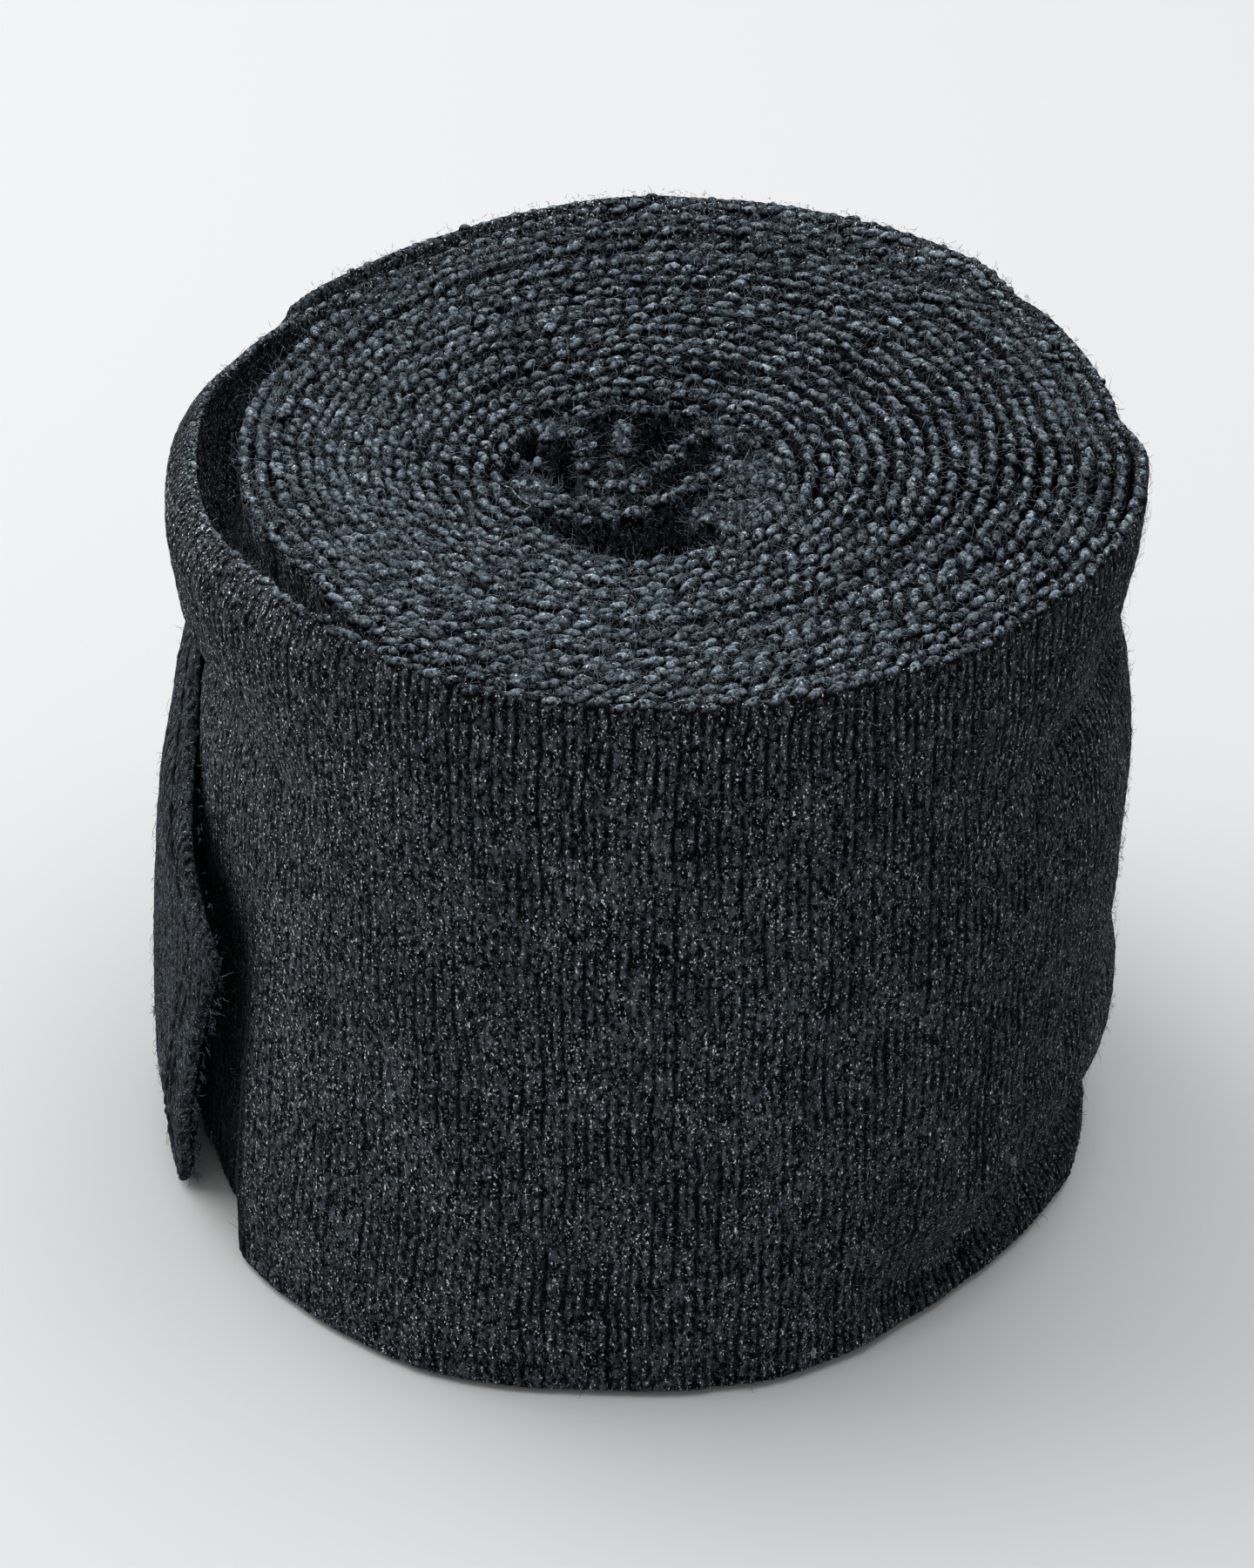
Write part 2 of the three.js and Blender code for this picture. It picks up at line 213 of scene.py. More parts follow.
def top_edge(phi):
    s = turn_share(phi)
    z = 47.55 + 2.3 * s ** 0.85
    z = z + (0.16 * vnoise(phi / 47.0, 0.5, 21) + 0.20 * vnoise(phi / 290.0, 3.5, 22)) * (1 - 0.75 * smooth((phi - 6900) / 120))
    x, y = np.interp(phi, GRID, GX), np.interp(phi, GRID, GY)
    for cx, cy, along, across, deep in DIPS:
        r0, r = math.hypot(cx, cy), np.hypot(x, y)
        da = (np.arctan2(y, x) - math.atan2(cy, cx) + np.pi) % (2 * np.pi) - np.pi
        z = z - 0.55 * deep * np.exp(-((r - r0) / (1.3 * across)) ** 2 - (da * r0 / along) ** 2) * (phi < 7000)
    z = z + 0.32 * window(phi, 40, 125, 40) * smooth((s - 0.8) / 0.15)
    return z - 0.4 * window(phi, 128, 207, 40) * smooth((s - 0.85) / 0.1) - 1.0 * np.exp(-((phi - 7341.0) / 17.0) ** 2)


def bottom_edge(phi):
    up = 0.35 * window(phi, -55, -22, 26) * smooth((phi - 6880.0) / 60.0) * (1 - smooth((phi - 7195.0) / 60.0))
    return 0.36 + 0.16 * vnoise(phi / 40.0, 8.5, 23) + 0.1 * vnoise(phi / 300.0, 2.5, 24) + up


def tab_edges(phi, inset=0.0):
    a = (PHI_TIP - phi) * D2R * 30.4
    k = math.hypot(1, 0.757)
    zt = np.minimum(49.9 - inset, 22 + 0.757 * a - inset * k)
    zb = np.maximum(0.4 + inset, 22 - (22 / 7.0) * a + inset * 3.3)
    return np.minimum(zb, zt - 0.3), zt


def edges(phi):
    zb, zt = bottom_edge(phi), top_edge(phi)
    tb, tt = tab_edges(phi)
    w = smooth((phi - 7325.0) / 16.0)
    return np.maximum(zb, np.where(phi > PHI_TAB - 16, tb, -1)), np.where(phi > PHI_TAB, tt - 1.0 * np.exp(-((phi - 7341.0) / 17.0) ** 2), zt * (1 - w) + np.minimum(tt - 1.0 * np.exp(-((phi - 7341.0) / 17.0) ** 2), 49.9) * w)


def place(phi, off, z):
    """points in roll coordinates, mm, pushed with the cloth"""
    phi, off, z = np.broadcast_arrays(np.asarray(phi, float), off, z)
    t = phi * D2R
    o = off + push(phi, z)
    x = np.interp(phi, GRID, GX) + o * np.cos(t)
    y = np.interp(phi, GRID, GY) + o * np.sin(t)
    return np.stack([x, y, np.array(z, float)], -1)


# ---------------------------------------------------------- which body carries what
# (name, from, to, first body, second body or None, how it follows)
SEGMENTS = [("core_turns", 140.0, 680.0, "roll_core", None, "rigid")]
mids = [680.0, 1760.0, 2840.0, 3920.0, 5000.0, 6080.0]
bodies = ["roll_core", "roll_section_2", "roll_section_3", "roll_section_4", "roll_section_5", "roll_section_6"]
for i in range(5):
    SEGMENTS.append((f"roll_turns_{i + 1}", mids[i], mids[i + 1], bodies[i], bodies[i + 1], "slide"))
SEGMENTS.append(("roll_turns_6", 6080.0, 6950.0, "roll_section_6", "roll_outer", "slide"))
tail_step, tab_step = 150.0 / 7, 70.0 / 3
cuts = [PHI_ROOT + tail_step * (k + 0.5) for k in range(7)] + [PHI_TAB + tab_step * (k + 0.5) for k in range(3)]
links = [f"tail_{k + 1}" for k in range(7)] + [f"tab_{k + 1}" for k in range(3)]
first = PHI_ROOT - tail_step / 2
SEGMENTS.append(("outer_turn", 6950.0, first, "roll_outer", None, "rigid"))
prev, pb = first, "roll_outer"
BEND_END = {}
for c, b in zip(cuts, links):
    name = f"{pb.replace('roll_', '')}_to_{b}"
    BEND_END[name] = c
    SEGMENTS.append((name, prev, PHI_TIP - 0.45 if b == "tab_3" else c, pb, b, "hinge"))
    prev, pb = c, b


def carry(obj, seg):
    """joins a finished mesh to its body when its stretch of cloth belongs to one body; a stretch shared by two bodies
    is only baked in place
    """
    name, p0, p1, a, b, how = seg
    p1 = BEND_END.get(name, p1)
    if b is None:
        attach(obj, a)
        return
    s, e = place(p0, 0, 25.0)[()], place(p1, 0, 25.0)[()]
    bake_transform(obj)


# ------------------------------------------------------------------ mesh making
def make(name, verts, faces, material, tone_and_shade=None, groove=None, shade=True, origin=True):
    """faces is a list of integer arrays (n,3), (n,4) or lists of index lists"""
    me = bpy.data.meshes.new(name)
    v = np.array(verts, float).reshape(-1, 3)
    if origin:
        world = v.copy()
        world[:, 0] += SHIFT[0]
        world[:, 1] += SHIFT[1]
        world /= 1000
    else:
        world = v
    loops, starts, totals, n = [], [], [], 0
    for f in faces:
        if isinstance(f, np.ndarray):
            if not len(f):
                continue
            k = f.shape[1]
            loops.append(f.ravel())
            starts.append(n + k * np.arange(len(f)))
            totals.append(np.full(len(f), k))
            n += f.size
        else:
            for poly in f:
                loops.append(np.array(poly))
                starts.append(np.array([n]))
                totals.append(np.array([len(poly)]))
                n += len(poly)
    loops, starts, totals = np.concatenate(loops), np.concatenate(starts), np.concatenate(totals)
    me.vertices.add(len(world))
    me.vertices.foreach_set("co", world.astype(np.float32).ravel())
    me.loops.add(len(loops))
    me.loops.foreach_set("vertex_index", loops.astype(np.int32))
    me.polygons.add(len(starts))
    me.polygons.foreach_set("loop_start", starts.astype(np.int32))
    me.polygons.foreach_set("loop_total", totals.astype(np.int32))
    me.polygons.foreach_set("use_smooth", np.full(len(starts), bool(shade)))
    me.update(calc_edges=True)
    a = me.attributes.new("rest", "FLOAT_VECTOR", "POINT")
    a.data.foreach_set("vector", (world * 1000).astype(np.float32).ravel())
    for key, val, default in (("tone_and_shade", tone_and_shade, 1.0), ("groove", groove, 0.0)):
        at = me.attributes.new(key, "FLOAT", "POINT")
        at.data.foreach_set("value", (np.full(len(v), default) if val is None else np.asarray(val)).astype(np.float32).ravel())
    me.materials.append(material)
    ob = bpy.data.objects.new(name, me)
    bpy.context.scene.collection.objects.link(ob)
    return ob


def grid_faces(n, m, base=0, flip=False):
    """quads of an n by m grid of vertices stored row-major (n outer)"""
    i, j = np.meshgrid(np.arange(n - 1), np.arange(m - 1), indexing="ij")
    a = (i * m + j).ravel() + base
    q = np.stack([a, a + m, a + m + 1, a + 1], 1)
    return q[:, ::-1] if flip else q


CLOTH_T = 0.74


def rows_of(zb, zt, count):
    """heights of the rows of a band: a few close to each edge, the rest even"""
    near = np.array([0.0, 0.1, 0.3, 0.6])
    mid = np.linspace(0, 1, count)[1:-1]
    h = (zt - zb)[:, None]
    k = np.minimum(h / 2.6, 1.0)
    low = zb[:, None] + near[None] * k
    high = zt[:, None] - near[::-1][None] * k
    body = low[:, -1:] + (high[:, :1] - low[:, -1:]) * mid[None]
    z = np.concatenate([low, body, high], 1)
    edge = np.minimum(z - zb[:, None], zt[:, None] - z) / (0.35 * k)
    thin = np.sqrt(np.clip(1 - (1 - np.clip(edge, 0, 1)) ** 2, 0.12, 1))
    return z, thin


def band(P, N, zb, zt, thick, rows_out, rows_in, relief=None, shift=None):
    """closed band of cloth along a line in plan. P, N are (n,2), relief(z) gives the outer side's extra height"""
    zo, to = rows_of(zb, zt, rows_out)
    zi, ti = rows_of(zb, zt, rows_in)
    oo = thick / 2 * to + (relief(zo) if relief is not None else 0)
    oi = -thick / 2 * ti
    if shift is not None:
        oo = oo + shift(zo)
        oi = oi + shift(zi)
    n, m, q = len(P), zo.shape[1], zi.shape[1]
    vo = np.stack([P[:, None, 0] + oo * N[:, None, 0], P[:, None, 1] + oo * N[:, None, 1], zo], -1).reshape(-1, 3)
    vi = np.stack([P[:, None, 0] + oi * N[:, None, 0], P[:, None, 1] + oi * N[:, None, 1], zi], -1).reshape(-1, 3)
    B = n * m
    fo = grid_faces(n, m)
    fi = grid_faces(n, q, B, flip=True)
    k = np.arange(n - 1)
    top = np.stack([k * m + m - 1, (k + 1) * m + m - 1, B + (k + 1) * q + q - 1, B + k * q + q - 1], 1)
    bot = np.stack([(k + 1) * m, k * m, B + k * q, B + (k + 1) * q], 1)
    cap0 = list(range(0, m)) + [B + j for j in range(q - 1, -1, -1)]
    e, g = (n - 1) * m, B + (n - 1) * q
    cap1 = [g + j for j in range(q)] + [e + j for j in range(m - 1, -1, -1)]
    return np.concatenate([vo, vi]), [fo, fi, top, bot, [cap0, cap1]], (n, m, q)


def ball(nu, nv):
    """unit ball with poles on its long axis (x)"""
    v = [(-1, 0, 0)]
    for j in range(1, nv + 1):
        t = math.pi * j / (nv + 1)
        for i in range(nu):
            p = 2 * math.pi * i / nu
            v.append((-math.cos(t), math.sin(t) * math.cos(p), math.sin(t) * math.sin(p)))
    v.append((1, 0, 0))
    tri, quad = [], []
    for i in range(nu):
        tri.append((0, 1 + (i + 1) % nu, 1 + i))
        last = 1 + (nv - 1) * nu
        tri.append((len(v) - 1, last + i, last + (i + 1) % nu))
        for j in range(nv - 1):
            a = 1 + j * nu
            quad.append((a + i, a + (i + 1) % nu, a + nu + (i + 1) % nu, a + nu + i))
    return np.array(v, float), np.array(tri), np.array(quad)


def yarn_loops(centre, T, N, rng, size, nu, nv, lift=1.0, wild=0.0):
    """rice-grain yarn loops: centre (k,3), T and N (k,2) directions along and across the edge"""
    bv, bt, bq = ball(nu, nv)
    k, m = len(centre), len(bv)
    la = size[0] * rng.uniform(0.86, 1.16, k)
    lb = size[1] * rng.uniform(0.86, 1.14, k)
    lc = size[2] * rng.uniform(0.85, 1.2, k)
    tilt = rng.normal(-0.30, 0.20 + wild, k)
    dipn = rng.normal(0, 0.18 + wild * 0.6, k)
    p = bv[None] * np.stack([la, lb, lc], 1)[:, None, :]
    turn = np.arctan2(bv[:, 2], bv[:, 1])[None] * 2 + bv[None, :, 0] * 3.4 + rng.uniform(0, 6.28, k)[:, None]
    p[..., 1:] = p[..., 1:] * (1 + 0.15 * np.cos(turn) + 0.07 * rng.normal(size=(k, m)).clip(-2, 2))[..., None]
    # fuller in the middle, slightly bent like a bean
    bend = 0.22 * (p[..., 0] / la[:, None]) ** 2
    p[..., 2] = p[..., 2] - bend * lc[:, None]
    ct, st = np.cos(dipn)[:, None], np.sin(dipn)[:, None]
    x, z = p[..., 0] * ct - p[..., 2] * st, p[..., 0] * st + p[..., 2] * ct
    ct, st = np.cos(tilt)[:, None], np.sin(tilt)[:, None]
    x, y = x * ct - p[..., 1] * st, x * st + p[..., 1] * ct
    w = np.stack([
        centre[:, None, 0] + x * T[:, None, 0] + y * N[:, None, 0],
        centre[:, None, 1] + x * T[:, None, 1] + y * N[:, None, 1],
        centre[:, None, 2] + z * lift], -1)
    base = (np.arange(k) * m)[:, None, None]
    tri = (bt[None] + base).reshape(-1, 3)
    quad = (bq[None] + base).reshape(-1, 4)
    up = z / lc[:, None] * lift
    # each loop gets a random tone of its own and is darkened to near black towards its foot by the cloth: painted
    # shade between the loops
    tone_and_shade = rng.uniform(0.62, 1.25, k)[:, None] * (0.01 + 0.99 * smooth((up - 0.05) / 0.9))
    return w.reshape(-1, 3), [tri, quad], tone_and_shade.ravel(), m


def strands(root, way, rng, length, radius, curl=0.6, joints=4, sides=3):
    """short bent fibres. root (k,3), way (k,3) unit start direction"""
    k = len(root)
    L = length if np.ndim(length) else np.full(k, length)
    side = np.cross(way, rng.normal(size=(k, 3)))
    side /= np.linalg.norm(side, axis=1, keepdims=True) + 1e-9
    bendy = rng.normal(0, curl, (k, joints))
    pts, d = [root], way.copy()
    for j in range(joints):
        d = d + side * bendy[:, j:j + 1] + rng.normal(0, 0.18, (k, 3))
        d /= np.linalg.norm(d, axis=1, keepdims=True)
        pts.append(pts[-1] + d * (L / joints)[:, None])
    pts = np.stack(pts, 1)
    tang = np.gradient(pts, axis=1)
    tang /= np.linalg.norm(tang, axis=2, keepdims=True) + 1e-9
    u = np.cross(tang, side[:, None, :])
    u /= np.linalg.norm(u, axis=2, keepdims=True) + 1e-9
    w = np.cross(tang, u)
    taper = np.linspace(1, 0.55, joints + 1)[None, :, None]
    rad_ = (radius if np.ndim(radius) else np.full(k, radius))[:, None, None]
    ring = []
    for i in range(sides):
        a = 2 * math.pi * i / sides
        ring.append(pts + (u * math.cos(a) + w * math.sin(a)) * rad_ * taper)
    v = np.stack(ring, 2)                       # k, joints+1, sides, 3
    n = (joints + 1) * sides
    q = []
    for j in range(joints):
        for i in range(sides):
            a, b = j * sides + i, j * sides + (i + 1) % sides
            q.append((a, b, b + sides, a + sides))
    q = np.array(q)
    base = (np.arange(k) * n)[:, None, None]
    quads = (q[None] + base).reshape(-1, 4)
    ends = np.array([list(range(sides))[::-1], [joints * sides + i for i in range(sides)]])
    caps = (ends[None] + base).reshape(-1, sides)
    return v.reshape(-1, 3), [quads, caps], n


# ------------------------------------------------------------------- materials
def nodes_of(name):
    m = bpy.data.materials.new(name)
    m.use_nodes = True
    nt = m.node_tree
    nt.nodes.clear()
    out = nt.nodes.new("ShaderNodeOutputMaterial")
    bsdf = nt.nodes.new("ShaderNodeBsdfPrincipled")
    nt.links.new(bsdf.outputs["BSDF"], out.inputs["Surface"])
    return m, nt, bsdf


def knit_material(name, dark, light, fleck, fleece=5.0, fleck_at=0.63, bump=0.5, rough=0.92, sheen=0.35,
                  sheen_tint=(0.55, 0.68, 0.78, 1), slow=0.5, lo=0.42, hi=0.63):
    m, nt, bsdf = nodes_of(name)
    N, L = nt.nodes, nt.links

    def math_(op, a, b=None, c=None, clamp=False):
        n = N.new("ShaderNodeMath")
        n.operation = op
        n.use_clamp = clamp
        for i, v in enumerate((a, b, c)):
            if v is None:
                continue
            if isinstance(v, (int, float)):
                n.inputs[i].default_value = v
            else:
                L.new(v, n.inputs[i])
        return n.outputs[0]

    def noise(scale, detail, rough_, dist=0.0):
        n = N.new("ShaderNodeTexNoise")
        n.inputs["Scale"].default_value = scale
        n.inputs["Detail"].default_value = detail
        n.inputs["Roughness"].default_value = rough_
        n.inputs["Distortion"].default_value = dist
        L.new(drawn.outputs["Vector"], n.inputs["Vector"])
        return n.outputs["Fac"]

    rest = N.new("ShaderNodeAttribute")
    rest.attribute_name = "rest"
    drawn = N.new("ShaderNodeVectorMath")
    drawn.operation = "MULTIPLY"
    drawn.inputs[1].default_value = (1.0, 1.0, 0.62)
    L.new(rest.outputs["Vector"], drawn.inputs[0])
    tone_and_shade = N.new("ShaderNodeAttribute")
    tone_and_shade.attribute_name = "tone_and_shade"
    groove = N.new("ShaderNodeAttribute")
    groove.attribute_name = "groove"
    fine = noise(fleece, 3.0, 0.65, 0.4)
    finer = noise(fleece * 2.3, 2.0, 0.6)
    patch = noise(0.22, 3.0, 0.6)
    ramp = N.new("ShaderNodeValToRGB")
    ramp.color_ramp.elements[0].position = lo
    ramp.color_ramp.elements[0].color = (*dark, 1)
    ramp.color_ramp.elements[1].position = hi
    ramp.color_ramp.elements[1].color = (*light, 1)
    L.new(fine, ramp.inputs["Fac"])
    # light specks mixed into the base colour: partly light fibres in the yarn, partly painted glints
    fleck_and_glint = math_("SUBTRACT", finer, fleck_at)
    fleck_and_glint = math_("MULTIPLY", fleck_and_glint, 11.0, clamp=True)
    mix = N.new("ShaderNodeMix")
    mix.data_type = "RGBA"
    L.new(fleck_and_glint, mix.inputs["Factor"])
    L.new(ramp.outputs["Color"], mix.inputs["A"])
    mix.inputs["B"].default_value = (*fleck, 1)
    # slow fading, the tone of each yarn with the painted shade that rides with it, and the painted shade in the
    # grooves
    k = math_("MULTIPLY_ADD", math_("SUBTRACT", patch, 0.5), 2 * slow, 1.0)
    k = math_("MULTIPLY", k, tone_and_shade.outputs["Fac"])
    g = math_("MULTIPLY_ADD", groove.outputs["Fac"], -0.95, 1.0)
    k = math_("MULTIPLY", k, g)
    mul = N.new("ShaderNodeMix")
    mul.data_type = "RGBA"
    mul.blend_type = "MULTIPLY"
    mul.inputs["Factor"].default_value = 1.0
    L.new(mix.outputs["Result"], mul.inputs["A"])
    comb = N.new("ShaderNodeCombineColor")
    for c in ("Red", "Green", "Blue"):
        L.new(k, comb.inputs[c])
    L.new(comb.outputs["Color"], mul.inputs["B"])
    L.new(mul.outputs["Result"], bsdf.inputs["Base Color"])
    bsdf.inputs["Roughness"].default_value = rough
    bsdf.inputs["Specular IOR Level"].default_value = 0.05
    bsdf.inputs["Sheen Weight"].default_value = sheen
    bsdf.inputs["Sheen Roughness"].default_value = 0.45
    bsdf.inputs["Sheen Tint"].default_value = sheen_tint
    b1 = N.new("ShaderNodeBump")
    b1.inputs["Strength"].default_value = bump
    b1.inputs["Distance"].default_value = 0.00012
    hsum = math_("MULTIPLY_ADD", finer, 0.6, fine)
    L.new(hsum, b1.inputs["Height"])
    L.new(b1.outputs["Normal"], bsdf.inputs["Normal"])
    return m


def sc(r, g, b):
    """a screen colour as linear light"""
    return tuple((v / 255 / 12.92) if v / 255 <= 0.04045 else ((v / 255 + 0.055) / 1.055) ** 2.4 for v in (r, g, b))


M_FACE = knit_material("knit_face", sc(3, 4, 5), sc(84, 92, 99), sc(242, 250, 255), fleece=3.3, fleck_at=0.61, bump=1.0, sheen=0.01, lo=0.435, hi=0.66)
# painted shade: the turns inside the roll get a darker copy of the face's knit
M_INSIDE_SHADED = knit_material("knit_between_turns_painted_shade", sc(3, 3, 4), sc(34, 38, 42), sc(120, 132, 142), fleece=3.4, fleck_at=0.64, bump=0.8, sheen=0.0, lo=0.45, hi=0.64)
M_CORE = knit_material("knit_core", sc(4, 5, 6), sc(60, 67, 73), sc(160, 175, 186), fleece=2.8, fleck_at=0.62, bump=1.0, sheen=0.01, lo=0.44, hi=0.62)
M_YARN = knit_material("yarn_loops", sc(9, 11, 13), sc(134, 149, 161), sc(238, 247, 255), fleece=3.0, fleck_at=0.62, bump=1.0, sheen=0.01, slow=0.6, lo=0.40, hi=0.64)
M_TAB = knit_material("knit_tab", sc(14, 16, 18), sc(76, 84, 91), sc(175, 190, 200), fleece=3.4, fleck_at=0.62, bump=1.0, sheen=0.01, lo=0.43, hi=0.64)
M_FUZZ = knit_material("loose_fibres", sc(54, 61, 67), sc(138, 152, 163), sc(210, 224, 234), fleece=3.0, fleck_at=0.64, bump=0.2, sheen=0.02, slow=0.3)
M_HOOK_BASE = knit_material("hook_tape", sc(2, 2, 3), sc(16, 17, 19), sc(40, 44, 48), fleece=3.0, fleck_at=0.7, bump=0.4, rough=0.7, sheen=0.0)
M_HOOK = knit_material("hook_filament", sc(22, 25, 27), sc(58, 64, 68), sc(160, 170, 178), fleece=2.0, fleck_at=0.7, bump=0.1, rough=0.4, sheen=0.0)
M_LOOP = knit_material("loop_pile", sc(5, 6, 7), sc(34, 38, 41), sc(90, 98, 104), fleece=4.0, fleck_at=0.66, bump=0.6, sheen=0.06)
M_THREAD = knit_material("sewing_thread", sc(10, 11, 13), sc(40, 44, 48), sc(92, 100, 106), fleece=7.0, fleck_at=0.66, bump=0.5, rough=0.75, sheen=0.05)
M_LINT = knit_material("lint", sc(110, 118, 126), sc(170, 178, 186), sc(215, 220, 226), fleece=6.0, fleck_at=0.6, bump=0.5, sheen=0.1)


# ------------------------------------------------------------- cloth of the spiral
RIB = 0.635


def relief_for(phi, strength):
    """ribs, fleece and slow lumps of the outer face"""
    u0 = arc(phi)[:, None] / RIB

    def f(z):
        u = u0 + 0.30 * vnoise(u0 * 0.11, z * 0.30, 31) + 0.16 * vnoise(u0 * 0.6, z * 1.5, 32)
        d = np.abs(u - np.round(u))
        even = (np.round(u).astype(int) % 2) == 0
        cut = np.exp(-(d / 0.25) ** 2) * np.where(even, 1.0, 0.72)
        s = strength(phi)[:, None] * np.clip(0.80 + 0.40 * vnoise(u0 * 0.33, z * 0.35, 33) + 0.40 * smooth((z - 42) / 5), 0.1, 1)
        dash = np.clip(0.80 + 0.55 * vnoise(np.round(u) * 7.37, z * 1.05, 36), 0.3, 1.15)
        crease = 0.6 * np.exp(-((z - bottom_edge(phi)[:, None] - 1.55 - 0.15 * vnoise(u0 * 0.2, 0.5, 37)) / 0.26) ** 2)
        s = s * dash
        # painted shade: the rib grooves and the crease above the bottom edge are darkened in the colour as well as cut
        # into the surface
        f.groove = np.clip(cut * s * 1.7 + crease * 0.7, 0, 1)
        lump = 0.045 * vnoise(u0 * 0.35, z * 0.5, 34) + 0.03 * vnoise(u0 * 1.6, z * 2.4, 35)
        return -0.16 * cut * s - 0.12 * crease + lump + 0.012 * np.random.RandomState(7).normal(size=z.shape)
    return f


def rib_strength(phi):
    """ribs show most from the middle of the front to the right, and fade into fleece on the left"""
    a = phi % 360
    return 0.62 + 0.38 * window(a, 262, 400, 32)


def cloth(seg):
    name, p0, p1, a, b, how = seg
    fine = p1 > 7050.0
    medium = not fine and p1 > 6700
    s0, s1 = arc(p0), arc(p1)
    step = 0.127 if fine else (0.16 if medium else 0.55)
    if medium:
        # coarse where it is always covered, finer where the tail can uncover it
        sm = arc(6800.0)
        s = np.unique(np.concatenate([np.arange(s0, sm, 0.55), np.arange(sm, s1, 0.16), [s1]]))
    else:
        s = np.linspace(s0, s1, max(4, int(round((s1 - s0) / step)) + 1))
    phi = phi_at(s)
    zb, zt = edges(phi)
    t = phi * D2R
    P = np.stack([np.interp(phi, GRID, GX), np.interp(phi, GRID, GY)], 1)
    N = np.stack([np.cos(t), np.sin(t)], 1)
    rel = relief_for(phi, rib_strength) if (fine or medium) else None
    rows = 84 if fine else (60 if medium else 10)
    v, f, (n, m, q) = band(P, N, zb, zt, CLOTH_T, rows, 14 if (fine or medium) else 6, rel, lambda z: push(phi[:, None], z))
    groove = np.zeros(len(v))
    if rel is not None:
        groove[:n * m] = rel.groove.ravel()
    vphi = np.concatenate([np.repeat(phi, m), np.repeat(phi, q)])
    tab = p0 > PHI_TAB - 12
    mat = M_TAB if tab else (M_FACE if (fine or medium) else M_INSIDE_SHADED)
    # painted shade: the cloth on the right of the roll, from -42° to 30°, is made up to a third darker
    tone_and_shade = 1 - 0.34 * window(vphi, -42, 30, 40)
    if not tab:
        # painted shadow: the roll's cloth just past the tab's free edge is darkened up to about 21 mm high, fading out
        # by 30 mm, to stand for the tab's shadow
        tone_and_shade = tone_and_shade * (1 - 0.82 * window(vphi, 196, 213.5, 3) * (1 - smooth((v[:, 2] - 21.0) / 9.0)) * (vphi > 6860) * (vphi < 7150))
    ob = make(f"cloth_{name}", v, f, mat, tone_and_shade, groove)
    carry(ob, seg)
    return ob, (s1 - s0) / 1000


def edge_loops(seg, top):
    name, p0, p1, a, b, how = seg
    rng = np.random.RandomState(int(p0) % 99991 + (1 if top else 2))
    stop = min(p1, PHI_TAB - 2) if top else min(p1, 7396.0)
    if stop - p0 < 2:
        return None
    n = max(2, int((arc(stop) - arc(p0)) / (1.2 if top else 1.32)))
    s = np.linspace(arc(p0), arc(stop), n, endpoint=False) + rng.uniform(0.2, 1.0, n) * 0.35 + 0.45
    phi = phi_at(s)
    zb, zt = edges(phi)
    outer = phi > 7080
    jitter = rng.normal(0, 0.09, n)
    off = rng.normal(0, 0.09, n)
    if top:
        z = zt - 0.06 + jitter
        size, nu, nv = (0.68, 0.31, 0.34), 14, 8
    else:
        z = zb + 0.26 + np.abs(jitter) * 0.6
        off = off - 0.14
        size, nu, nv = (0.56, 0.30, 0.28), 8, 4
    fit = np.ones(n)
    if top:
        # finer and set back along the outermost edge, where it makes the outline
        rim_ = smooth((phi - 7180.0) / 40.0) + smooth((phi - 6930.0) / 30.0) * window(phi, 100, 205, 20) * (phi < 7180)
        fit = 1 - 0.30 * np.clip(rim_, 0, 1)
        z = z - 0.10 * np.clip(rim_, 0, 1)
        off = off * fit
    c = place(phi, off, z)
    c[:, 2] = z
    t = phi * D2R
    T = np.stack([-np.sin(t), np.cos(t)], 1)
    N = np.stack([np.cos(t), np.sin(t)], 1)
    v, f, tone_and_shade, m = yarn_loops(c, T, N, rng, size, nu, nv, 1.0 if top else -1.0)
    v = np.repeat(c, m, 0) + (v - np.repeat(c, m, 0)) * np.repeat(fit, m)[:, None]
    if not top:
        v[:, 2] = np.maximum(v[:, 2], 0.02)
        # painted shade: the bottom edge's loops are made 40% darker than the top edge's
        tone_and_shade = tone_and_shade * 0.6
    ob = make(f"{'top' if top else 'bottom'}_edge_yarn_{name}", v, f, M_YARN, tone_and_shade)
    carry(ob, seg)
    return ob


def top_fuzz(seg):
    name, p0, p1, a, b, how = seg
    stop = min(p1, PHI_TAB - 2)
    if stop - p0 < 2:
        return None
    rng = np.random.RandomState(int(p0) % 99991 + 5)
    n = int((arc(stop) - arc(p0)) * 6.5)
    phi = phi_at(rng.uniform(arc(p0), arc(stop), n))
    zb, zt = edges(phi)
    t = phi * D2R
    off = rng.uniform(-0.42, 0.42, n)
    root = place(phi, off, zt + 0.12)
    root[:, 2] = zt + rng.uniform(0.0, 0.3, n)
    ang = rng.uniform(0, 2 * np.pi, n)
    up = rng.uniform(0.1, 0.8, n)
    way = np.stack([np.cos(ang), np.sin(ang), up], 1)
    way /= np.linalg.norm(way, axis=1, keepdims=True)
    ln = rng.uniform(0.5, 1.5, n) * np.where(phi > 6800, 0.32, 1.0)
    v, f, m = strands(root, way, rng, ln, rng.uniform(0.012, 0.021, n), 0.7)
    ob = make(f"edge_fibres_{name}", v, f, M_FUZZ, np.repeat(rng.uniform(0.6, 1.15, n), m))
    carry(ob, seg)
    return ob


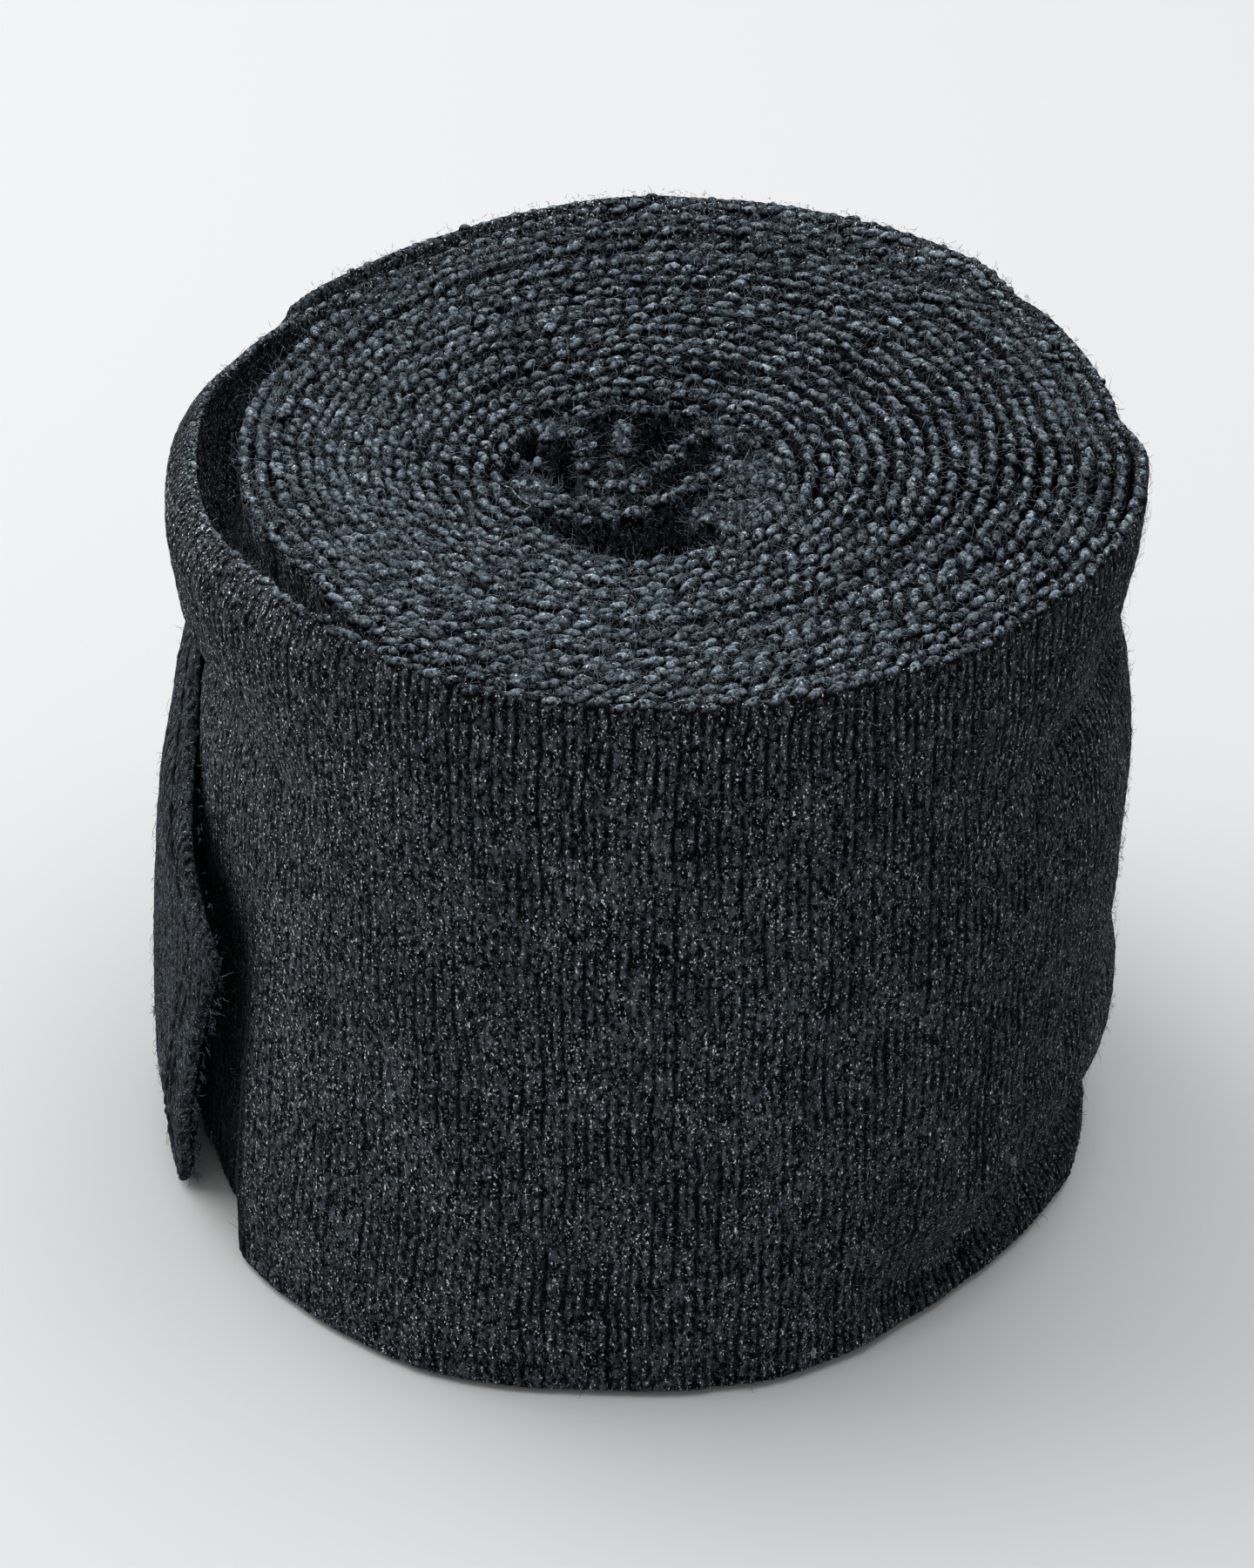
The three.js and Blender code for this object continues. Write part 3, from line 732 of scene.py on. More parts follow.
def face_fuzz(seg, density):
    name, p0, p1, a, b, how = seg
    rng = np.random.RandomState(int(p0) % 99991 + 9)
    lo = max(p0, 7040.0)
    n = int((arc(p1) - arc(lo)) * 50 * density)
    phi = phi_at(rng.uniform(arc(lo), arc(p1), n))
    # more loose hairs towards the right of the front
    keep = rng.uniform(size=n) < 0.35 + 0.65 * window(phi % 360, 285, 385, 40)
    phi = phi[keep]
    zb, zt = edges(phi)
    z = rng.uniform(zb + 0.4, zt - 0.3)
    n = len(phi)
    t = phi * D2R
    root = place(phi, CLOTH_T / 2 - 0.01, z)
    ang = rng.uniform(0, 2 * np.pi, n)
    T = np.stack([-np.sin(t), np.cos(t), np.zeros(n)], 1)
    N = np.stack([np.cos(t), np.sin(t), np.zeros(n)], 1)
    way = T * np.cos(ang)[:, None] + np.array([0, 0, 1.0]) * np.sin(ang)[:, None] + N * rng.uniform(0.15, 0.6, n)[:, None]
    way /= np.linalg.norm(way, axis=1, keepdims=True)
    near = window(phi, -45, 25, 40)
    ln = rng.uniform(0.5, 1.7, n) * (1 + 0.7 * near)
    v, f, m = strands(root, way, rng, ln, rng.uniform(0.011, 0.02, n), 0.65)
    # fibres lie against the cloth: nothing goes far in or out
    c = np.repeat(root, m, 0)
    nn = np.repeat(N, m, 0)
    d = ((v - c) * nn).sum(1)
    v = v + nn * (np.clip(d, 0.0, 0.30) - d)[:, None]
    v[:, 2] = np.clip(v[:, 2], 0.05, 50.6)
    # painted sheen: the fibres near the right of the front are made up to a quarter lighter
    ob = make(f"face_fibres_{name}", v, f, M_FUZZ, np.repeat(rng.uniform(0.3, 0.9, n) * (1 + 0.25 * near), m))
    carry(ob, seg)
    return ob


parts_of = {}
for seg in SEGMENTS:
    ob, length = cloth(seg)
    extra = [e for e in (edge_loops(seg, True), edge_loops(seg, False), top_fuzz(seg)) if e]
    if seg[2] > 7060:
        extra.append(face_fuzz(seg, 0.8))
    parts_of[seg[0]] = (ob, extra, length)


# ------------------------------------------------------- cloth in the middle of the roll
def spline(points, count):
    """centripetal-like smooth line through points, evenly spaced"""
    p = np.array(points, float)
    p = np.vstack([2 * p[0] - p[1], p, 2 * p[-1] - p[-2]])
    out = []
    for i in range(1, len(p) - 2):
        t = np.linspace(0, 1, 24, endpoint=False)[:, None]
        a, b, c, d = p[i - 1], p[i], p[i + 1], p[i + 2]
        out.append(0.5 * ((2 * b) + (-a + c) * t + (2 * a - 5 * b + 4 * c - d) * t ** 2 + (-a + 3 * b - 3 * c + d) * t ** 3))
    out.append(p[-2:-1])
    q = np.vstack(out)
    s = np.concatenate([[0], np.cumsum(np.hypot(*np.diff(q, axis=0).T))])
    u = np.linspace(0, s[-1], count)
    x, y = np.interp(u, s, q[:, 0]), np.interp(u, s, q[:, 1])
    tx, ty = np.gradient(x), np.gradient(y)
    k = np.hypot(tx, ty)
    return np.stack([x, y], 1), np.stack([tx / k, ty / k], 1), u


FOLD = 1.05


def at(phi, off):
    t, h = phi * D2R, float(support(phi)) + off
    d = float(support(phi + 0.05) - support(phi - 0.05)) / (0.1 * D2R)
    return [h * math.cos(t) - d * math.sin(t), h * math.sin(t) + d * math.cos(t)]


# the strip's inner end runs on inwards and lies in folds beside the thumb loop
FOLDED_END = [at(p, 0) for p in np.arange(PHI_START - 1.1, -34, -9)]
FOLDED_END += [at(-34, 0), at(-40.5, -0.16), at(-42.5, -FOLD / 2), at(-40.5, -FOLD + 0.16)]
FOLDED_END += [at(p, -FOLD) for p in range(-34, 9, 7)]
FOLDED_END += [at(14.5, -FOLD - 0.16), at(16.5, -1.5 * FOLD), at(14.5, -2 * FOLD + 0.16)]
FOLDED_END += [at(p, -2 * FOLD) for p in range(8, -33, -8)]
FOLDED_END += [at(-39.5, -2 * FOLD - 0.16), at(-42, -2.5 * FOLD), at(-39.5, -3 * FOLD + 0.16)]
FOLDED_END += [at(p, -3 * FOLD) for p in (-32, -26.5, -21, -15.5, -10)]
LOOP_END = [
    [-2.1, 5.4], [-2.05, 3.4], [-2.05, 1.4], [-2.3, 0.1], [-3.15, -0.55], [-4.0, 0.1],
    [-4.25, 1.4], [-4.25, 3.2], [-4.4, 4.3], [-5.0, 4.95], [-5.8, 4.9], [-6.4, 4.2], [-6.75, 3.2],
]
THUMB_LOOP = [
    [-7.15, 2.0], [-7.2, 0.6], [-6.9, -1.2], [-6.0, -2.6], [-4.6, -3.25], [-3.2, -3.2], [-2.1, -2.2],
    [-1.05, -0.7], [0.1, 1.1], [1.5, 2.8], [2.8, 4.1], [3.75, 4.3], [4.3, 3.5], [4.25, 2.2], [3.6, 0.7],
    [2.6, -0.8], [1.0, -2.0], [-0.4, -3.1], [-1.5, -4.2], [-2.9, -4.75], [-4.7, -4.6], [-6.4, -3.8],
    [-7.6, -2.3], [-8.15, -0.4], [-8.2, 2.0],
]


def core_piece(name, line, top, seed, thick=0.84):
    u_end = spline(line, 400)[2][-1]
    P, T, u = spline(line, int(u_end / 0.3))
    N = np.stack([T[:, 1], -T[:, 0]], 1)
    zt = top(P, u)
    zb = np.full(len(P), 0.5)
    lean = 0.30 * vnoise(u * 0.25, 1.5, seed)

    def sway(z):
        return lean[:, None] * smooth((z - 38) / 12) + 0.08 * vnoise(u[:, None] * 0.9, z * 0.5, seed + 1) + 0.04 * vnoise(u[:, None] * 3.1, z * 2.5, seed + 2)
    v, f, _ = band(P, N, zb, zt, thick, 60, 60, None, sway)
    ob = make(f"cloth_{name}", v, f, M_CORE)
    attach(ob, "roll_core")
    rng = np.random.RandomState(seed)
    extra = []
    for up in (True, False):
        lanes = ((-0.20, 0.0), (0.22, -0.16)) if up else ((0.0, 0.0),)
        for lane, (side_off, drop) in enumerate(lanes):
            n = int(u[-1] / 1.05)
            s = np.linspace(0.3, u[-1] - 0.3, n) + rng.uniform(-0.35, 0.35, n)
            c = np.stack([np.interp(s, u, P[:, 0]), np.interp(s, u, P[:, 1]),
                          (np.interp(s, u, zt) - 0.06 + drop if up else np.interp(s, u, zb) + 0.1) + rng.normal(0, 0.13, n)], 1)
            tt = np.stack([np.interp(s, u, T[:, 0]), np.interp(s, u, T[:, 1])], 1)
            nn = np.stack([tt[:, 1], -tt[:, 0]], 1)
            off = (np.interp(s, u, lean) if up else 0 * s) + side_off
            c[:, :2] += nn * (off + rng.normal(0, 0.10, n))[:, None]
            gv, gf, tone_and_shade, m = yarn_loops(c, tt, nn, rng, (0.58, 0.27, 0.31) if up else (0.56, 0.34, 0.32), 14 if up else 8, 8 if up else 4,
                                         1.0 if up else -1.0, wild=0.45)
            gv[:, 2] = np.maximum(gv[:, 2], 0.02)
            g = make(f"{'top' if up else 'bottom'}_edge_yarn_{name}_{lane + 1}", gv, gf, M_YARN, tone_and_shade * 0.85)
            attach(g, "roll_core")
            extra.append(g)
    n = int(u[-1] * 34)
    s = rng.uniform(0, u[-1], n)
    deep = rng.uniform(size=n) ** 2.0
    c = np.stack([np.interp(s, u, P[:, 0]), np.interp(s, u, P[:, 1]), np.interp(s, u, zt) + 0.3 - deep * 4.5], 1)
    tt = np.stack([np.interp(s, u, T[:, 0]), np.interp(s, u, T[:, 1])], 1)
    side = np.where(rng.uniform(size=n) < 0.5, 1, -1)
    nn = np.stack([tt[:, 1], -tt[:, 0]], 1) * side[:, None]
    c[:, :2] += nn * np.where(deep < 0.12, rng.uniform(0.0, 0.4, n), thick / 2 - 0.03)[:, None]
    way = np.stack([nn[:, 0] + rng.normal(0, 0.6, n), nn[:, 1] + rng.normal(0, 0.6, n), rng.uniform(-0.3, 0.9, n)], 1)
    way /= np.linalg.norm(way, axis=1, keepdims=True)
    fv, ff, m = strands(c, way, rng, rng.uniform(0.4, 1.3, n), rng.uniform(0.014, 0.026, n), 0.75)
    # painted shade: fibres lower down in the core are darkened, by up to two thirds at the deepest
    g = make(f"edge_fibres_{name}", fv, ff, M_FUZZ, np.repeat(rng.uniform(0.25, 1.0, n) * (1 - 0.65 * deep), m))
    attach(g, "roll_core")
    extra.append(g)
    return ob, extra, u[-1] / 1000


def inner_top(P, u):
    return 47.35 + 0.35 * vnoise(u * 0.4, 2.5, 61) + 0.2 * vnoise(u * 1.1, 7.5, 63)


def end_top(P, u):
    return 47.5 + 0.3 * vnoise(u * 0.4, 2.5, 64) - 0.7 * np.exp(-((P[:, 1] + 0.3) / 0.8) ** 2)


def loop_top(P, u):
    z = 47.2 + 0.35 * vnoise(u * 0.35, 4.5, 62)
    z = z - 0.9 * np.exp(-(((P[:, 0] + 7.2) / 1.2) ** 2 + ((P[:, 1] - 0.6) / 1.6) ** 2))
    return z + 0.45 * np.exp(-(((P[:, 0] - 2.6) / 1.8) ** 2 + ((P[:, 1] - 3.8) / 1.4) ** 2))


folded, folded_extra, folded_len = core_piece("folded_end", FOLDED_END, inner_top, 301)
thumb, thumb_extra, thumb_len = core_piece("thumb_loop", THUMB_LOOP, loop_top, 302)
loop_end, loop_end_extra, loop_end_len = core_piece("thumb_loop_end", LOOP_END, end_top, 303)

# ------------------------------------------------------------ sewing: threads as twisted cords
def thread(name, pts, radius, body=None, seg=None, phis=None, sides=6, mat=None, step=0.12):
    """a sewing thread through points (n,3), mm"""
    p = np.array(pts, float)
    p3 = np.vstack([2 * p[0] - p[1], p, 2 * p[-1] - p[-2]])
    out, ph = [], []
    for i in range(1, len(p3) - 2):
        k = max(2, int(np.linalg.norm(p3[i + 1] - p3[i]) / step))
        t = np.linspace(0, 1, k, endpoint=False)[:, None]
        a, b, c, d = p3[i - 1], p3[i], p3[i + 1], p3[i + 2]
        out.append(0.5 * ((2 * b) + (-a + c) * t + (2 * a - 5 * b + 4 * c - d) * t ** 2 + (-a + 3 * b - 3 * c + d) * t ** 3))
        if phis is not None:
            ph.append(phis[i - 1] + (phis[i] - phis[i - 1]) * t[:, 0])
    out.append(p[-1:])
    q = np.vstack(out)
    if phis is not None:
        ph.append(np.array([phis[-1]]))
        ph = np.concatenate(ph)
    tang = np.gradient(q, axis=0)
    tang /= np.linalg.norm(tang, axis=1, keepdims=True) + 1e-12
    ref = np.where(np.abs(tang[:, 2:3]) > 0.8, np.array([[1.0, 0, 0]]), np.array([[0, 0, 1.0]]))
    u = np.cross(tang, ref)
    u /= np.linalg.norm(u, axis=1, keepdims=True)
    w = np.cross(tang, u)
    n = len(q)
    s = np.concatenate([[0], np.cumsum(np.linalg.norm(np.diff(q, axis=0), axis=1))])
    rings = []
    for i in range(sides):
        a = 2 * math.pi * i / sides
        r = radius * (1 + 0.16 * np.cos(2 * a - s / radius * 0.9))[:, None]
        rings.append(q + (u * math.cos(a) + w * math.sin(a)) * r)
    v = np.stack(rings, 1).reshape(-1, 3)
    i, j = np.meshgrid(np.arange(n - 1), np.arange(sides), indexing="ij")
    a = (i * sides + j).ravel()
    b = (i * sides + (j + 1) % sides).ravel()
    f = [np.stack([a, b, b + sides, a + sides], 1), [list(range(sides))[::-1], [(n - 1) * sides + k for k in range(sides)]]]
    ob = make(name, v, f, mat or M_THREAD)
    if body:
        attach(ob, body)
    else:
        carry(ob, seg)
    return ob


pts = []
for i in range(27):
    pts.append((-6.62, 1.72 if i % 2 else 0.38, 15.8 + i * 16.4 / 26))
bar_tack = thread("thumb_loop_bar_tack_stitches", pts, 0.13, body="roll_core")
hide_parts("thumb_loop_bar_tack")

# ------------------------------------------------------------------ closure patches
def patch(seg, lo, hi, inset, off0, off1, name, mat, slot, under=0.0, seed=1):
    """woven base of a patch, on the strip at phi - under"""
    _, p0, p1, a, b, how = seg
    lo, hi = max(p0 + under, lo), min(p1 + under, hi)
    if hi - lo < 0.4:
        return None
    n = max(4, int((hi - lo) / 0.8))
    phi = np.linspace(lo, hi, n)
    zb, zt = tab_edges(phi, inset)
    zt = np.maximum(zt, zb + 0.05)
    R = 40
    rows = np.linspace(0, 1, R)
    z = zb[:, None] + (zt - zb)[:, None] * rows[None]
    w = 0.03 * vnoise(phi[:, None] * 3.1, z * 1.7, seed)
    A = place((phi - under)[:, None], off0 + w, z)
    B = place((phi - under)[:, None], off1 + w, z)
    v = np.concatenate([A.reshape(-1, 3), B.reshape(-1, 3)])
    K = n * R
    flip = off1 < off0
    fs = [grid_faces(n, R, 0, flip=not flip), grid_faces(n, R, K, flip=flip)]
    i = np.arange(n - 1)
    fs.append(np.stack([i * R + R - 1, (i + 1) * R + R - 1, K + (i + 1) * R + R - 1, K + i * R + R - 1], 1)[:, ::(1 if flip else -1)])
    fs.append(np.stack([(i + 1) * R, i * R, K + i * R, K + (i + 1) * R], 1)[:, ::(1 if flip else -1)])
    j = np.arange(R - 1)
    fs.append(np.stack([j, j + 1, K + j + 1, K + j], 1)[:, ::(1 if flip else -1)])
    e = (n - 1) * R
    fs.append(np.stack([e + j + 1, e + j, K + e + j, K + e + j + 1], 1)[:, ::(1 if flip else -1)])
    ob = make(name, v, fs, mat)
    carry(ob, seg)
    return ob, arc(hi - under) - arc(lo - under), float((zt - zb).max()), float(np.trapz(zt - zb, arc(phi - under)))


def hooks(seg, lo, hi, inset, off, name, seed):
    """the hooks of the hook tape: little bent filaments in rows, and longer ones at its cut edge"""
    _, p0, p1, a, b, how = seg
    lo, hi = max(p0, lo), min(p1, hi)
    if hi - lo < 0.4:
        return None
    rng = np.random.RandomState(seed)
    L = arc(hi) - arc(lo)
    gs, gz = np.meshgrid(np.arange(0.25, L - 0.1, 0.85), np.arange(0.9, 49.4, 0.8), indexing="ij")
    s = (arc(lo) + gs + rng.uniform(-0.12, 0.12, gs.shape)).ravel()
    z = (gz + rng.uniform(-0.12, 0.12, gz.shape)).ravel()
    phi = phi_at(s)
    zb, zt = tab_edges(phi, inset)
    ok = (z > zb) & (z < zt)
    phi, z = phi[ok], z[ok]
    n = len(phi)
    t = phi * D2R
    inw = np.stack([-np.cos(t), -np.sin(t), np.zeros(n)], 1)
    T = np.stack([-np.sin(t), np.cos(t), np.zeros(n)], 1)
    lean = np.where(rng.uniform(size=n) < 0.5, 1.0, -1.0)
    side = T * (lean * 0.8)[:, None] + np.array([0, 0, 1.0]) * rng.uniform(-0.5, 0.5, n)[:, None]
    side /= np.linalg.norm(side, axis=1, keepdims=True)
    root = place(phi, off + 0.02, z)
    ht, rd = 0.42, 0.16
    line = []
    for q in (0.0, 0.5, 1.0):
        line.append(root + inw * (q * (ht - rd)))
    for ang in (40, 80, 125, 170, 215):
        line.append(root + inw * (ht - rd + rd * math.sin(ang * D2R)) + side * (rd * (1 - math.cos(ang * D2R))))
    pts = np.stack(line, 1)
    tang = np.gradient(pts, axis=1)
    tang /= np.linalg.norm(tang, axis=2, keepdims=True) + 1e-9
    bn = np.cross(inw, side)[:, None, :]
    u = np.cross(tang, np.broadcast_to(bn, tang.shape))
    u /= np.linalg.norm(u, axis=2, keepdims=True) + 1e-9
    r = 0.045
    J, S = pts.shape[1], 4
    v = np.stack([pts + (u * math.cos(math.pi / 2 * i) + bn * math.sin(math.pi / 2 * i)) * r for i in range(S)], 2)
    q = [(j * S + i, j * S + (i + 1) % S, (j + 1) * S + (i + 1) % S, (j + 1) * S + i) for j in range(J - 1) for i in range(S)]
    q.append((3, 2, 1, 0))
    q.append(tuple((J - 1) * S + i for i in range(S)))
    base = (np.arange(n) * J * S)[:, None, None]
    f = [(np.array(q)[None] + base).reshape(-1, 4)]
    ob = make(name, v.reshape(-1, 3), f, M_HOOK, np.repeat(rng.uniform(0.7, 1.15, n), J * S))
    carry(ob, seg)
    return ob


tab_segs = [s for s in SEGMENTS if s[2] > PHI_TAB + 1]
hook_pieces = []
for k, seg in enumerate(tab_segs):
    got = patch(seg, PHI_TAB + 3.5, PHI_TIP - 1.2, 0.55, -0.42, -0.70, f"hook_tape_base_{k + 1}", M_HOOK_BASE, "hook_tape", seed=71)
    hk = hooks(seg, PHI_TAB + 3.5, PHI_TIP - 1.2, 0.75, -0.70, f"hook_tape_hooks_{k + 1}", 500 + k)
    if got:
        hook_pieces.append((got, hk, seg))

# whiskers: hooks and cut ends that stick out past the tab's free edges
def whiskers(seg, seed):
    _, p0, p1, a, b, how = seg
    rng = np.random.RandomState(seed)
    rows = []
    for which in ("bottom_front", "top"):
        lo, hi = max(p0, 7349.0), min(p1, PHI_TIP - 0.8)
        if hi - lo < 0.3:
            continue
        if which == "top":
            n = int((arc(hi) - arc(lo)) * 1.6)
            phi = rng.uniform(lo, hi, n)
            z = tab_edges(phi)[1] - 0.25
            dz = rng.uniform(0.2, 0.9, n)
            da = rng.uniform(0.0, 0.8, n)
            ln = rng.uniform(0.3, 0.7, n)
        else:
            lo = max(lo, 7396.0)
            if hi - lo < 0.3:
                continue
            n = int((hi - lo) * 7)
            phi = rng.uniform(lo, hi, n)
            z = tab_edges(phi)[0] + 0.3
            dz = rng.uniform(-1.1, 0.3, n)
            da = rng.uniform(0.5, 1.3, n)
            ln = rng.uniform(0.4, 1.0, n)
        rows.append((phi, z, dz, da, ln))
    if not rows:
        return None
    phi, z, dz, da, ln = (np.concatenate(c) for c in zip(*rows))
    n = len(phi)
    t = phi * D2R
    root = place(phi, -0.55 + rng.uniform(-0.2, 0.2, n), z)
    T = np.stack([-np.sin(t), np.cos(t), np.zeros(n)], 1)
    N = np.stack([np.cos(t), np.sin(t), np.zeros(n)], 1)
    way = T * da[:, None] + np.array([0, 0, 1.0]) * dz[:, None] - N * rng.uniform(-0.1, 0.5, n)[:, None]
    way /= np.linalg.norm(way, axis=1, keepdims=True)
    v, f, m = strands(root, way, rng, ln, rng.uniform(0.025, 0.042, n), 0.8, joints=6, sides=4)
    v[:, 2] = np.maximum(v[:, 2], 0.04)
    ob = make(f"tab_edge_whiskers_{seg[0]}", v, f, M_FUZZ, np.repeat(rng.uniform(0.5, 1.05, n), m))
    carry(ob, seg)
    return ob


whisk = [w for w in (whiskers(s, 800 + i) for i, s in enumerate(tab_segs)) if w]

# stitching round the hook patch, on the outer face of the tab
for k, seg in enumerate(tab_segs):
    _, p0, p1, a, b, how = seg
    lo, hi = max(p0, PHI_TAB + 5.0), min(p1, PHI_TIP - 4.4)
    if hi - lo < 1.0:
        continue
    for which in (0, 1):
        ph = phi_at(np.arange(arc(lo), arc(hi), 0.95))
        if len(ph) < 3:
            continue
        z = tab_edges(ph, 2.0)[which]
        dip = np.where(np.arange(len(ph)) % 2 == 0, -0.10, 0.075)
        q = place(ph, CLOTH_T / 2 + dip, z)
        thread(f"hook_stitching_{'top' if which else 'bottom'}_{k + 1}", q, 0.11, seg=seg, phis=ph)
if True:
    seg = tab_segs[-1]
    zz = np.arange(3.2, 33.0, 0.95)
    ph = PHI_TIP - ((2.0 * 3.3 / 3.14 + np.maximum(0, (22 - zz)) * 7.0 / 22.0 + 1.0) / 30.4) / D2R
    zt = tab_edges(ph, 2.0)[1]
    ok = zz < zt
    ph, zz = ph[ok], zz[ok]
    front = [s for s in tab_segs if s[1] <= ph.min() and s[2] >= ph.max()]
    if not front:
        front = [tab_segs[-2] if len(tab_segs) > 1 else seg]
        ph = np.clip(ph, front[0][1] + 0.05, front[0][2] - 0.05)
    dip = np.where(np.arange(len(ph)) % 2 == 0, -0.10, 0.075)
    thread("hook_stitching_front", place(ph, CLOTH_T / 2 + dip, zz), 0.11, seg=front[0], phis=ph)

# loop patch on the roll below the tab: base, pile and edge stitches
seg_outer = next(s for s in SEGMENTS if s[0] == "outer_turn")
loop_base = patch(seg_outer, PHI_TAB + 4.5, PHI_TIP - 12.1, 2.2, 0.36, 0.66, "loop_patch_base", M_LOOP, "loop_tape", under=360.0, seed=81)
rng = np.random.RandomState(91)
n = 7000
phi = rng.uniform(PHI_TAB + 4.8, PHI_TIP - 12.3, n)
zb, zt = tab_edges(phi, 2.3)
z = rng.uniform(0, 1, n) * (zt - zb) + zb
t = phi * D2R
root = place(phi - 360, 0.64, z)
way = np.stack([np.cos(t) + rng.normal(0, 0.8, n), np.sin(t) + rng.normal(0, 0.8, n), rng.normal(0, 0.8, n)], 1)
way /= np.linalg.norm(way, axis=1, keepdims=True)
v, f, m = strands(root, way, rng, rng.uniform(0.35, 0.7, n), rng.uniform(0.018, 0.028, n), 0.8, joints=3)
nn = np.repeat(np.stack([np.cos(t), np.sin(t), 0 * t], 1), m, 0)
c = np.repeat(root, m, 0)
d = ((v - c) * nn).sum(1)
v = v + nn * (np.clip(d, -0.02, 0.30) - d)[:, None]
pile = make("loop_patch_pile", v, f, M_LOOP, np.repeat(rng.uniform(0.8, 1.6, n), m))
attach(pile, "roll_outer")
rim = []
P0, P1 = PHI_TAB + 3.6, PHI_TIP - 12.6
for q in np.arange(arc(P0 - 360), arc(P1 - 360), 0.9):
    ph = float(phi_at(q)) + 360
    rim.append((ph, float(tab_edges(np.array(ph), 1.7)[0])))
hi_z = float(tab_edges(np.array(P1), 1.9)[1])
for zz in np.arange(3.0, hi_z - 0.5, 0.9):
    rim.append((PHI_TIP - 11.6, zz))
for q in np.arange(arc(P1 - 360), arc(P0 - 360), -0.9):
    ph = float(phi_at(q)) + 360
    rim.append((ph, float(tab_edges(np.array(ph), 1.7)[1])))
rim = np.array(rim)
dip = np.where(np.arange(len(rim)) % 2 == 0, -0.05, 0.10)
loop_stitch = thread("loop_patch_edge_stitches", place(rim[:, 0] - 360, CLOTH_T / 2 + dip, rim[:, 1]), 0.12, body="roll_outer")

# ------------------------------------------------------------------ stray hairs and lint
def stray(name, pts, radius, body="roll_core", mat=None):
    p = np.array(pts, float)
    ob = thread(name, p, radius, body=body, mat=mat or M_FUZZ, sides=5, step=0.1)
    return ob


strays = [
    stray("stray_yarn_left", [(-8.9, -3.3, 48.35), (-8.5, -3.9, 48.55), (-8.2, -4.6, 48.6), (-7.7, -5.2, 48.45), (-7.3, -5.7, 48.5), (-7.6, -6.3, 48.55)], 0.05),
    stray("stray_yarn_right", [(6.9, -4.6, 48.4), (6.5, -5.1, 48.6), (6.1, -5.6, 48.6), (5.6, -6.2, 48.5), (5.2, -6.6, 48.3)], 0.05),
]


def lint(name, phi, z, size, seg_name, seed):
    rng = np.random.RandomState(seed)
    seg = next(s for s in SEGMENTS if s[0] == seg_name)
    k = 60
    c = place(np.full(k, phi), CLOTH_T / 2 + rng.uniform(0, 0.08, k), z + rng.normal(0, size * 0.5, k))
    t = phi * D2R
    c[:, 0] += -math.sin(t) * rng.normal(0, size * 0.35, k)
    c[:, 1] += math.cos(t) * rng.normal(0, size * 0.35, k)
    way = rng.normal(size=(k, 3))
    way -= 0.8 * (way @ np.array([math.cos(t), math.sin(t), 0]))[:, None] * np.array([math.cos(t), math.sin(t), 0])
    way /= np.linalg.norm(way, axis=1, keepdims=True)
    v, f, m = strands(c, way, rng, rng.uniform(0.15, 0.4, k), rng.uniform(0.02, 0.035, k), 0.8, joints=3)
    ob = make(name, v, f, M_LINT)
    carry(ob, seg)
    return ob


def seg_at(phi):
    return next(s[0] for s in SEGMENTS if s[1] <= phi <= s[2])


LINT = [(7386.0, 9.2, 0.32), (7393.0, 7.3, 0.34), (7130.0, 1.8, 0.25), (7098.5, 38.6, 0.12), (7159.0, 10.3, 0.16)]
lints = [lint(f"lint_{i + 1}", p, z, r, seg_at(p), 900 + i) for i, (p, z, r) in enumerate(LINT)]

# ------------------------------------------------------------- what replaces what: the imported parts are hidden; the cloth areas worked out here are not used
CAD_OF = {
    "core_turns": ["strip_section_1"],
    "roll_turns_1": ["strip_section_2"], "roll_turns_2": ["strip_section_3"], "roll_turns_3": ["strip_section_4"],
    "roll_turns_4": ["strip_section_5"], "roll_turns_5": ["strip_section_6"], "outer_turn": ["strip_outer_turns"],
}
for seg in SEGMENTS:
    name, p0, p1, a, b, how = seg
    ob, extra, length = parts_of[name]
    if name in CAD_OF:
        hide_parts(*CAD_OF[name])
    elif how == "hinge":
        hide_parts("strip_" + b)
    if name == "core_turns":
        under = [folded, thumb]
    elif name == "outer_turn":
        under = ["roll_turns_6"]
    else:
        under = []
    on_it = [e for e in extra]
    for (base, hk, sg) in hook_pieces:
        if sg[0] == name:
            on_it += [base[0]] + ([hk] if hk else [])
    on_it += [w for w in whisk if w.name.endswith(name)]
    area = None
    if p1 > PHI_TAB:
        ph = np.linspace(p0, p1, 60)
        zb, zt = edges(ph)
        area = float(np.trapz(zt - zb, arc(ph))) / 1e6
        zmax = float((zt - zb).max()) / 1000
        full = zmax * length
        area = min(max(area, 0.31 * full), full)
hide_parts("strip_folded_end")
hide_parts("thumb_loop")
